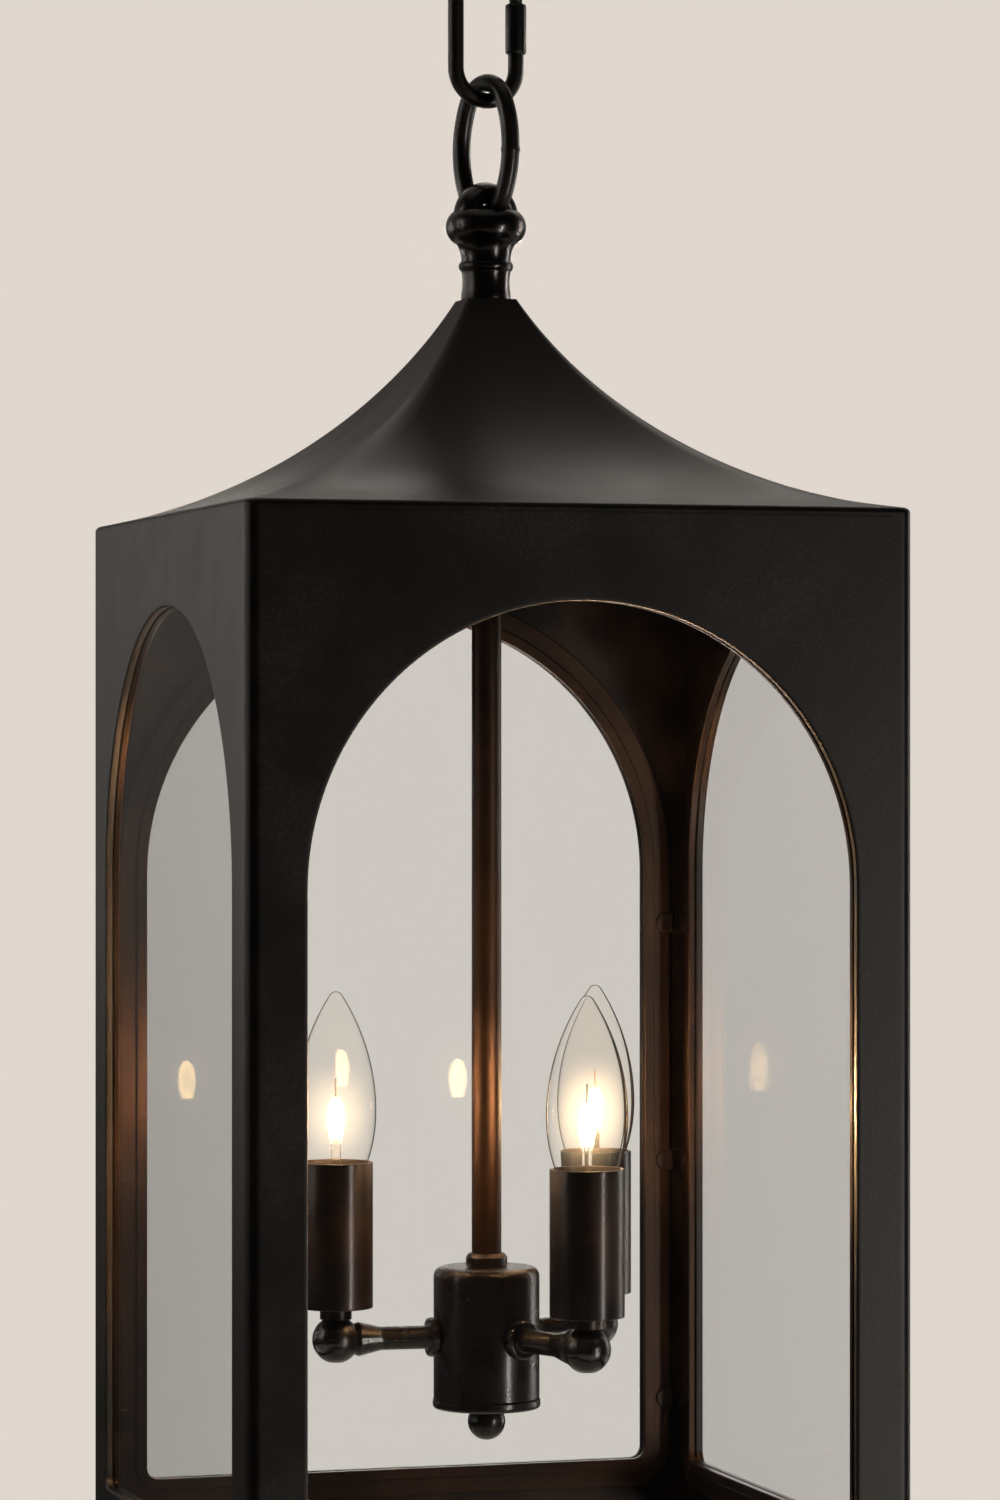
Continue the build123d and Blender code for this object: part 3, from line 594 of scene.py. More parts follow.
@dataclass(frozen=True)
class PaintedGlowGlass(ClearGlass):
    """Clear bulb glass with a painted glow that stands in for its filament's light scattered in the glass."""

    # colour, strength, height, reach and focus of the painted glow
    glow: Triple = (1.0, 0.72, 0.4)
    strength: float = 0.2
    middle: float = GLOW_Z
    reach: float = 0.024
    focus: float = 4.0

    def build(self, smudge: bpy.types.NodeTree) -> bpy.types.Material:
        """Adds a painted glow that is strongest level with the filament and fades towards the glass's
        outline.

        Args:
            smudge: The shared wipe-mark group.

        Returns:
            The finished material.
        """
        material = super().build(smudge)
        graph = NodeGraph(material.node_tree)
        shader = material.node_tree.nodes["Principled BSDF"]
        height = graph.add("ShaderNodeSeparateXYZ", {0: graph.coordinates()}).outputs["Z"]
        away = graph.math("ABSOLUTE", graph.math("SUBTRACT", height, self.middle))
        level = graph.ramp(away, Ramp(0.0, self.reach, 1.0, 0.0))
        facing = graph.add("ShaderNodeLayerWeight", {"Blend": 0.5}).outputs["Facing"]
        core = graph.math("POWER", graph.math("SUBTRACT", 1.0, facing), self.focus)
        # painted glow: the glass emits light by height and facing, though it is no lamp
        power = graph.math("MULTIPLY", graph.math("MULTIPLY", core, level), self.strength)
        graph.feed(shader.inputs["Emission Strength"], power)
        shader.inputs["Emission Color"].default_value = (*self.glow, 1.0)
        return material


@dataclass(frozen=True)
class Glow:
    """Glowing filament wire."""

    name: str
    colour: Triple
    strength: float
    hot: float = 1.12
    wire: Triple = (0.1, 0.09, 0.08)
    uneven_scale: float = 300.0

    def build(self) -> bpy.types.Material:
        """Sets a dark wire that emits warm light, a little uneven along its length.

        Returns:
            The finished material.
        """
        material, graph, shader = start_material(self.name)
        uneven = graph.noise(graph.coordinates(), self.uneven_scale)
        bright = (*(min(1.0, self.hot * part) for part in self.colour), 1.0)
        graph.feed(shader.inputs["Emission Color"], graph.blend(uneven, (*self.colour, 1.0), bright))
        shader.inputs["Emission Strength"].default_value = self.strength
        shader.inputs["Base Color"].default_value = (*self.wire, 1.0)
        return material


class Finishes:
    """All finishes of the lantern, built once."""

    def __init__(self) -> None:
        """Builds the shared groups and every material."""
        self.make_metals(patina_group())
        self.make_glass(smudge_group())
        self.filament = Glow("filament_glow", (1.0, 0.62, 0.26), 110.0).build()

    def make_metals(self, patina: bpy.types.NodeTree) -> None:
        """Builds the bronzes, the other metals, the lampholder's plastic and the leads' jacket.

        Args:
            patina: The shared patina group.
        """
        bronze = Tones((0.0042, 0.0038, 0.0034), (0.0085, 0.0068, 0.0052), (0.05, 0.03, 0.018))
        # inside pieces: patina with warmer tones that paint the bulbs' copper sheen
        inner = Tones((0.005, 0.0036, 0.0028), (0.018, 0.0105, 0.0065), (0.08, 0.045, 0.022))
        # stem and glazing frames: patina made copper to paint the bulbs' warm sheen on them
        copper_painted_sheen = Tones((0.016, 0.0085, 0.005), (0.026, 0.013, 0.0065), (0.06, 0.032, 0.018))
        brown = Tones((0.0044, 0.0036, 0.0031), (0.008, 0.0056, 0.0043), (0.06, 0.032, 0.018))
        # candle sleeves: patina made warmer to paint the bulbs' copper sheen on them
        patina_with_painted_sheen = Tones((0.005, 0.0036, 0.003), (0.024, 0.0115, 0.006), (0.07, 0.036, 0.02))
        zinc = Tones((0.4, 0.39, 0.37), (0.5, 0.49, 0.46), (0.6, 0.58, 0.55))
        brass = Tones((0.5, 0.36, 0.16), (0.58, 0.43, 0.2), (0.68, 0.52, 0.28))
        black = Tones((0.012, 0.012, 0.012), (0.018, 0.018, 0.018), (0.03, 0.03, 0.03))
        umber = Tones((0.03, 0.024, 0.018), (0.04, 0.032, 0.024), (0.05, 0.04, 0.03))
        self.body = RubbedMetal("body_bronze", bronze, rough=(0.34, 0.43)).build(patina)
        # inner finish: more metallic, so blacker as painted shade inside, with painted copper sheen
        self.fitted = RubbedMetal("fitted_bronze_painted_shade_sheen", inner, metallic=0.85, rough=(0.28, 0.38), soft_edge=0.001,
                                  lacquer=0.1).build(patina)
        # stem finish: a copper copy of the bronze, painted sheen of the bulbs' light
        self.stem = RubbedMetal("stem_bronze_painted_sheen", copper_painted_sheen, metallic=0.9, rough=(0.36, 0.42), rub=0.1,
                                bump=0.03).build(patina)
        # glazing frames: the same painted copper sheen
        self.glazing = RubbedMetal("frame_bronze_painted_sheen", copper_painted_sheen, metallic=0.9, rough=(0.28, 0.36), soft_edge=0.001,
                                   lacquer=0.1).build(patina)
        self.turned = RubbedMetal("turned_bronze", brown, metallic=0.68, rough=(0.25, 0.29), cloud_scale=30.0,
                                  rub=0.12, bump=0.03, lacquer=0.7).build(patina)
        # candle finish: a warmer copy of the turned bronze, painted copper sheen from the bulbs
        self.candle = RubbedMetal("candle_bronze_painted_sheen", patina_with_painted_sheen, metallic=0.8, rough=(0.27, 0.33), cloud_scale=26.0,
                                  rub=0.15, bump=0.03, lacquer=0.4).build(patina)
        self.chain = RubbedMetal("chain_bronze", bronze, rough=(0.32, 0.5), cloud_scale=60.0, bump=0.08,
                                 lacquer=0.5).build(patina)
        self.steel = RubbedMetal("zinc_plate", zinc, metallic=1.0, rough=(0.25, 0.4)).build(patina)
        self.brass = RubbedMetal("socket_brass", brass, metallic=1.0, rough=(0.22, 0.36)).build(patina)
        self.holder = RubbedMetal("moulded_holder", black, metallic=0.0, rough=(0.42, 0.55)).build(patina)
        self.lead = RubbedMetal("lead_jacket", umber, metallic=0.0, rough=(0.5, 0.65),
                                cloud_scale=120.0).build(patina)

    def make_glass(self, smudge: bpy.types.NodeTree) -> None:
        """Builds the glass of the panes, the bulbs and their mounts.

        Args:
            smudge: The shared wipe-mark group.
        """
        self.pane = ClearGlass("pane_glass", (0.957, 0.975, 0.982), 1.42, 0.006).build(smudge)
        # bulb glass with a painted glow
        self.bulb = PaintedGlowGlass("blown_glass_painted_glow", (1.0, 0.985, 0.965), 1.09, 0.03).build(smudge)
        self.mount = ClearGlass("mount_glass", (1.0, 0.97, 0.92), 1.3, 0.03).build(smudge)

    def dress(self) -> None:
        """Gives every frame node the finish of its slot, and the glazing frames their own."""
        by_slot = {Slot.BRONZE: self.fitted, Slot.CHAIN: self.chain, Slot.STEEL: self.steel,
                   Slot.BRASS: self.brass, Slot.HOLDER: self.holder, Slot.LEAD: self.lead,
                   Slot.PANE: self.pane, Slot.BULB: self.bulb}
        for part in frame["record"]["subparts"]:
            node, slot = frame["nodes"][part["node"]], Slot(part["material_slot"])
            # glazing frames take the finish with the painted copper sheen
            is_frame = part["node"].endswith("_glazing_frame")
            node.data.materials.clear()
            node.data.materials.append(self.glazing if is_frame else by_slot[slot])
            if slot in (Slot.PANE, Slot.BULB):
                node.visible_shadow = False


@dataclass
class HangingChain:
    """Quick link, its screw sleeve and the oval chain link."""

    finishes: Finishes
    quick_wire: float = 6.5
    quick_half: float = 13.25
    quick_top: float = 3.25
    quick_bottom: float = -60.25
    quick_azimuth: float = 5
    spigot: float = 5.6
    shoulder: float = -40.8
    shoulder_step: float = 0.01
    gap_low: float = -36.6
    gap_high: float = -30.7
    tail_drop: float = 2.0
    thread_pitch: float = 1.0
    thread_depth: float = 0.22
    thread_lead: float = 0.4
    thread_tip: float = 0.001
    sleeve_foot: float = -40.5
    sleeve_length: float = 20.5
    sleeve_diameter: float = 8.7
    sleeve_clearance: float = 0.3
    sleeve_lead: float = 0.4
    sleeve_ease: float = 0.45
    sleeve_bevel: float = 0.8
    link_wire: float = 7.4
    link_half: float = 16.8
    link_rise: float = 26.9
    link_end: float = 13.5
    link_centre: float = -79.9
    link_azimuth: float = -70
    weld_below: float = 2.0
    weld_spread: float = 0.9
    weld_rise: float = 0.28

    def build(self) -> None:
        """Builds the three pieces."""
        self.build_quick_link()
        self.build_sleeve()
        self.build_link()

    def thread(self, height: np.ndarray) -> np.ndarray:
        """Radius of the threaded spigot: its outer radius less a triangular wave along its height."""
        wave = np.abs((height / self.thread_pitch) % 1.0 - 0.5) * 2
        return self.spigot / 2 - self.thread_depth * wave

    def build_quick_link(self) -> None:
        """Sweeps a round wire from the lower thread round the foot and over the top to the upper thread."""
        half = self.quick_half
        foot, crown = self.quick_bottom + half, self.quick_top - half
        stub_z = np.linspace(self.gap_low, self.shoulder, 40)
        tail_z = np.linspace(crown - self.tail_drop, self.gap_high, 160)
        stub, tail = column(half, stub_z), column(half, tail_z)
        bare = np.concatenate([column(half, np.linspace(self.shoulder - self.shoulder_step, foot, 12)),
                               arc((0, foot), half, 0, -180, 48)[1:],
                               column(-half, np.linspace(foot, crown, 24))[1:],
                               arc((0, crown), half, 180, 0, 48)[1:]])
        path = upright(np.concatenate([stub[:1], stub, bare, tail, tail[-1:]]), self.quick_azimuth)
        path[0] += self.thread_tip * UP
        path[-1] -= self.thread_tip * UP
        radius = np.concatenate([[0.0], self.thread(stub_z), np.full(len(bare), self.quick_wire / 2),
                                 self.thread(tail_z), [0.0]])
        radius[[1, -2]] = self.spigot / 2 - self.thread_lead
        skin = swept(path, direction(self.quick_azimuth - 90), radius, radius, closed=False, segments=36)
        piece = make_piece("quick_link_wire", [Surface(skin)], self.finishes.chain)
        place(piece, Body.HANGER.value, Slot.CHAIN, "quick_link")

    def build_sleeve(self) -> None:
        """Turns the sleeve: a tube with eased ends, its upper half the mirror image of its lower half."""
        outer, tall, lead = self.sleeve_diameter / 2, self.sleeve_length, self.sleeve_lead
        bore = self.spigot / 2 + self.sleeve_clearance
        lower = [(bore, tall / 2, 0), (bore, lead, 0), (bore + lead, 0, 0.1),
                 (outer - self.sleeve_ease, 0, 0.3), (outer, self.sleeve_bevel, 0.5)]
        upper = [(across, tall - high, ease) for across, high, ease in reversed(lower)]
        foot = direction(self.quick_azimuth) * self.quick_half + self.sleeve_foot * UP
        skin = turned(rounded(lower + upper), foot, segments=64)
        piece = make_piece("quick_link_nut", [Surface(skin)], self.finishes.chain)
        place(piece, Body.SLEEVE.value, Slot.CHAIN, "quick_link_sleeve")

    def build_link(self) -> None:
        """Sweeps a round wire along an oval of four tangent arcs, with a low weld bead on one side."""
        centre = self.link_rise - self.link_end
        flank = (self.link_half**2 + centre**2 - self.link_end**2) / (2 * (self.link_half - self.link_end))
        back = flank - self.link_half
        lean = math.degrees(math.atan2(back, centre))
        flat = np.concatenate([
            arc((0, centre), self.link_end, 90 - lean, 90 + lean, 60)[:-1],
            arc((back, 0), flank, 90 + lean, 270 - lean, 90)[:-1],
            arc((0, -centre), self.link_end, 270 - lean, 270 + lean, 60)[:-1],
            arc((-back, 0), flank, lean - 90, 90 - lean, 90)[:-1]])
        bell = np.exp(-((flat[:, 1] + self.weld_below) / self.weld_spread)**2)
        radius = self.link_wire / 2 + bell * (flat[:, 0] > 0) * self.weld_rise
        path = upright(flat, self.link_azimuth, self.link_centre)
        skin = swept(path, direction(self.link_azimuth - 90), radius, radius, closed=True, segments=44)
        piece = make_piece("oval_link", [Surface(skin, close_rows=True)], self.finishes.chain)
        place(piece, Body.LINK.value, Slot.CHAIN, "chain_link")


@dataclass
class LoopFinial:
    """Turned finial with the arched eye that hangs on the chain link; points are radius and height."""

    finishes: Finishes
    base: float = -142.3
    bore: float = 4.5
    bore_ends: Point = (2.0, 28.0)
    foot_ease: float = 0.5
    foot_top: Point = (10.15, 2.6)
    neck: Point = (9.7, 7.2)
    neck_top: Point = (10.15, 11.8)
    bead: Point = (11.2, 13.85)
    bead_top: Point = (10.2, 15.9)
    flare: Point = (10.51, 19.45)
    flare_top: Point = (12.05, 23.0)
    swell: Point = (16.5, 29.6)
    brim: Point = (13.6, 36.2)
    floor: float = 31.2
    dish: float = 9.0
    eye_top: float = -93.8
    azimuth: float = -70
    bar_radial: float = 9.0
    bar_axial: float = 13.0
    arch: float = 10.0
    eye_depth: float = 6.0

    def outline(self) -> np.ndarray:
        """Outline of the turned body: foot, neck, bead, flare and swell as arcs, then the dish and the bore.

        Returns:
            Rows of radius and height.
        """
        low, high = self.bore_ends
        foot = rounded([(self.bore, low, 0), (self.bore, 0, 0), (self.foot_top[0], 0, self.foot_ease),
                        (*self.foot_top, 0)])
        dish = rounded([(*self.brim, 0), (self.dish, self.floor, 0), (self.bore, self.floor, self.foot_ease),
                        (self.bore, high, 0)])
        return np.concatenate([
            foot,
            three_point_arc(self.foot_top, self.neck, self.neck_top, 14)[1:],
            three_point_arc(self.neck_top, self.bead, self.bead_top, 14)[1:],
            three_point_arc(self.bead_top, self.flare, self.flare_top, 14)[1:],
            three_point_arc(self.flare_top, self.swell, self.brim, 30)[1:],
            dish[1:]])

    def eye(self) -> np.ndarray:
        """Oval bar carried up one leg, over a round arch and down the other leg.

        Returns:
            Grid of points, one row for each point of the path.
        """
        legs = np.linspace(-self.eye_depth, 0, 8)[:-1]
        flat = np.concatenate([column(-self.arch, legs), arc((0, 0), self.arch, 180, 0, 56),
                               column(self.arch, legs[::-1])])
        path = upright(flat, self.azimuth + 90, self.eye_top - self.bar_radial / 2 - self.arch)
        half_in, half_out = np.full(len(path), self.bar_radial / 2), np.full(len(path), self.bar_axial / 2)
        return swept(path, direction(self.azimuth), half_in, half_out, closed=False, segments=48)

    def build(self) -> None:
        """Turns the body, sweeps the eye and joins them in one piece."""
        body = turned(self.outline(), self.base * UP, segments=112)
        piece = make_piece("loop_finial_turned", [Surface(body), Surface(self.eye())], self.finishes.turned)
        place(piece, Body.LANTERN.value, Slot.BRONZE, "loop_finial")


@dataclass
class Roof:
    """Concave square roof with softened hips."""

    finishes: Finishes
    eave: float = -234.8
    half: float = 135.0
    rim: float = 3.0
    edge: float = 2.4
    foot_ease: float = 0.03
    top_half: float = 10.5
    height: float = 92.5
    curve: float = 180.0
    sheet: float = 2.0
    mouth: float = 119.0
    boss: float = 80.5
    hole: float = 6.2
    corner: float = 5.0
    hip: float = 16.0
    hip_top: float = 2.0
    hip_span: Point = (0.75, 0.88)

    def curve_centre(self) -> np.ndarray:
        """Centre of the roof's hollow curve, outside and above it, from its two ends and its radius.

        Returns:
            Distance from the axis and height above the eave.
        """
        low, high = np.array([self.half, self.rim]), np.array([self.top_half, self.height])
        chord = high - low
        length = np.linalg.norm(chord)
        outward = np.array([chord[1], -chord[0]]) / length
        return (low + high) / 2 + outward * math.sqrt(self.curve**2 - length**2 / 4)

    def section(self) -> np.ndarray:
        """Rings from the rim over the top and down the inside.

        Returns:
            Half size, height and hip radius of each ring.
        """
        centre = self.curve_centre()
        nose_x = self.half - self.edge
        nose = (nose_x, centre[1] - math.sqrt((self.curve + self.edge)**2 - (centre[0] - nose_x)**2))
        ends = [math.degrees(math.atan2(*(np.array(end) - centre)[::-1])) % 360
                for end in (nose, (self.top_half, self.height))]
        rim = arc(nose, self.edge, 0, ends[0] - 180, 10)
        outer = arc(tuple(centre), self.curve, ends[0], ends[1], 72)
        inner_radius = self.curve + self.sheet
        first = 360 - math.degrees(math.acos((self.mouth - centre[0]) / inner_radius))
        last = 180 - math.degrees(math.asin((self.boss - centre[1]) / inner_radius))
        inner = arc(tuple(centre), inner_radius, last, first, 48)
        foot = [[self.mouth, 0.0], [self.half - self.foot_ease, 0.0], [self.half, self.foot_ease]]
        bore = column(self.hole, np.array([self.height, self.boss]))
        rings = np.concatenate([foot, rim, outer[1:], bore, inner])
        start, end = (share * self.half for share in self.hip_span)
        hips = np.interp(rings[:, 0], [self.top_half, start, end, self.half - self.edge],
                         [self.hip_top, self.hip, self.hip, self.corner])
        hips[-len(inner) - len(bore):-len(inner)] = self.hole
        return np.column_stack([rings, hips])

    def build(self) -> None:
        """Stacks rounded squares: corner sign x (half - hip) + hip radius along the outward normal."""
        corner_points, side_points = 9, 10
        turn = np.linspace(0, math.pi / 2, corner_points)
        share = np.linspace(0, 1, side_points + 2)[1:-1, None]
        corners = np.array([[1, 1], [-1, 1], [-1, -1], [1, -1]], float)
        signs, normals = [], []
        for number, corner in enumerate(corners):
            angle = turn + number * math.pi / 2
            signs.append(np.repeat(corner[None], corner_points, 0))
            normals.append(np.stack([np.cos(angle), np.sin(angle)], 1))
            signs.append(corner + share * (corners[(number + 1) % 4] - corner))
            normals.append(np.repeat(normals[-1][-1:], side_points, 0))
        sign, normal = np.concatenate(signs), np.concatenate(normals)
        half, height, hip = (values[:, None, None] for values in self.section().T)
        flat = sign[None] * (half - hip) + normal[None] * hip
        skin = np.concatenate([flat, np.broadcast_to(height + self.eave, flat.shape[:2] + (1,))], axis=2)
        piece = make_piece("roof_shell", [Surface(skin, close_rows=True)], self.finishes.body)
        place(piece, Body.LANTERN.value, Slot.BRONZE, "roof")


@dataclass
class Wall:
    """One arched wall with eased edges, mitred ends and a return flange at its foot."""

    finishes: Finishes
    side: Side
    half: float = 135.0
    sheet: float = 3.0
    corner: float = 5.0
    top_ease: float = 0.03
    foot_ease: float = 1.0
    support: float = 1.0
    top: float = 145.5
    bottom: float = -285.0
    opening: float = 111.0
    sill: float = -259.0
    sill_corner: float = 5.0
    edge: float = 0.8
    flange: float = 12.5
    flange_lap: float = 0.5
    spring: float = -380.3
    sill_points: int = 9
    corner_points: int = 8
    jamb_points: int = 16
    rise_points: int = 24
    head_points: int = 48

    def opening_loop(self, grow: float) -> np.ndarray:
        """Round-headed loop grown by a margin: sill, eased corner, jamb, arch, jamb, eased corner.

        Args:
            grow: Margin in millimetres.

        Returns:
            Loop of points across and up, anticlockwise from the left end of the sill.
        """
        half, foot, ease = self.opening + grow, self.sill - grow, self.sill_corner + grow
        sill = row(np.linspace(ease - half, half - ease, self.sill_points + 1)[:-1], foot)
        right = arc((half - ease, foot + ease), ease, -90, 0, self.corner_points)
        jamb = column(half, np.linspace(foot + ease, 0, self.jamb_points + 2)[1:-1])
        arch = [arc((0, 0), half, 0, 45, self.rise_points + 1)[:-1],
                arc((0, 0), half, 45, 135, self.head_points + 1)[:-1],
                arc((0, 0), half, 135, 180, self.rise_points + 1)]
        left = arc((ease - half, foot + ease), ease, 180, 270, self.corner_points)
        return np.concatenate([sill, right, jamb, *arch, jamb[::-1] * MIRROR, left])

    def outer_loop(self, half: float, top: float, bottom: float) -> np.ndarray:
        """Rectangle sampled in step with the opening: each part of the loop runs along the edge next to it.

        Args:
            half: Half width of the rectangle.
            top: Height of its upper edge above the spring line.
            bottom: Height of its lower edge.

        Returns:
            Loop of points across and up.
        """
        foot = row(np.linspace(-half, half, self.sill_points + 1)[:-1], bottom)
        corner = np.repeat([[half, bottom]], self.corner_points, 0)
        jamb = column(half, np.linspace(bottom, 0, self.jamb_points + 2)[1:-1])
        rise = column(half, np.linspace(0, top, self.rise_points + 1)[:-1])
        head = row(np.linspace(half, -half, self.head_points + 1)[:-1], top)
        fall = column(-half, np.linspace(top, 0, self.rise_points + 1))
        return np.concatenate([foot, corner, jamb, rise, head, fall, jamb[::-1] * MIRROR, corner * MIRROR])

    def lift(self, loop: np.ndarray, depth: np.ndarray | float) -> np.ndarray:
        """Carries a loop of the wall's plane into space.

        Args:
            loop: Points across and up.
            depth: Depth behind the outer face, for all points or for each.

        Returns:
            Points in space.
        """
        behind = np.broadcast_to(np.asarray(depth, float), len(loop))[:, None]
        outward = direction(self.side.value - 90)
        return upright(loop, self.side.value, self.spring) + (self.half - behind) * outward

    def rows(self) -> np.ndarray:
        """Loops from the inner rim round the outer corner, over the face, round the arch's edge and inside.

        Returns:
            Grid of points, one row for each loop.
        """
        loops = [self.lift(self.outer_loop(self.half - self.sheet, self.top, self.bottom), self.sheet)]
        for angle in np.radians(np.linspace(45, 0, 7)):
            drop, bend = 1 - math.sin(2 * angle), 1 - math.cos(2 * angle)
            half = self.half - self.corner * (1 - math.sin(angle))
            top, bottom = self.top - self.top_ease * drop, self.bottom + self.foot_ease * drop
            loop = self.outer_loop(half, top, bottom)
            inside = np.abs(loop[:, 0]) < half - SAME
            on_head, on_foot = (inside & (np.abs(loop[:, 1] - level) < SAME) for level in (top, bottom))
            depth = np.where(on_head, self.top_ease * bend, self.corner * (1 - math.cos(angle)))
            loops.append(self.lift(loop, np.where(on_foot, self.foot_ease * bend, depth)))
        flat = self.outer_loop(self.half - self.corner - self.support,
                               self.top - self.top_ease - self.support,
                               self.bottom + self.foot_ease + self.support)
        loops.append(self.lift(flat, 0.0))
        loops.append(self.lift(self.opening_loop(self.edge + self.support), 0.0))
        for angle in np.radians(np.linspace(0, 90, 6)):
            loop = self.opening_loop(self.edge * (1 - math.sin(angle)))
            loops.append(self.lift(loop, self.edge * (1 - math.cos(angle))))
        loops.append(self.lift(self.opening_loop(0), self.sheet))
        return np.stack(loops)

    def flange_rows(self) -> np.ndarray:
        """Mitred bar at the foot: a rectangle carried from one mitre to the other, closed at both ends.

        Returns:
            Grid of points: a pole, the two mitred ends and a pole.
        """
        near = self.sheet - self.flange_lap
        depths = np.array([near, self.flange, self.flange, near])
        rises = np.array([0.0, 0.0, self.sheet, self.sheet]) + self.bottom
        ends = []
        for hand in (-1, 1):
            loop = np.stack([hand * (self.half - depths), rises], 1)
            ends.append(self.lift(loop, depths))
        low, high = (np.repeat(end.mean(axis=0, keepdims=True), len(end), 0) for end in ends)
        return np.stack([low, ends[0], ends[1], high])

    def build(self) -> None:
        """Builds the wall and lets it stand for its node."""
        surfaces = [Surface(self.rows(), close_rows=True), Surface(self.flange_rows())]
        piece = make_piece(f"{self.side.label}_arched_wall", surfaces, self.finishes.body, sharp=35)
        self.line_inside(piece.data)
        place(piece, Body.LANTERN.value, Slot.BRONZE, f"{self.side.label}_wall")

    def line_inside(self, mesh: bpy.types.Mesh) -> None:
        """Gives the faces that look into the lantern the inner finish: blacker painted shade, warmer painted
        sheen.

        Args:
            mesh: Mesh of the wall.
        """
        # inside faces: painted shade and painted copper sheen of the inner finish
        nearly_inward = -0.9
        mesh.materials.append(self.finishes.fitted)
        normals = np.empty(3 * len(mesh.polygons))
        mesh.polygons.foreach_get("normal", normals)
        inward = normals.reshape(-1, 3) @ direction(self.side.value - 90) < nearly_inward
        mesh.polygons.foreach_set("material_index", inward.astype(np.int32))


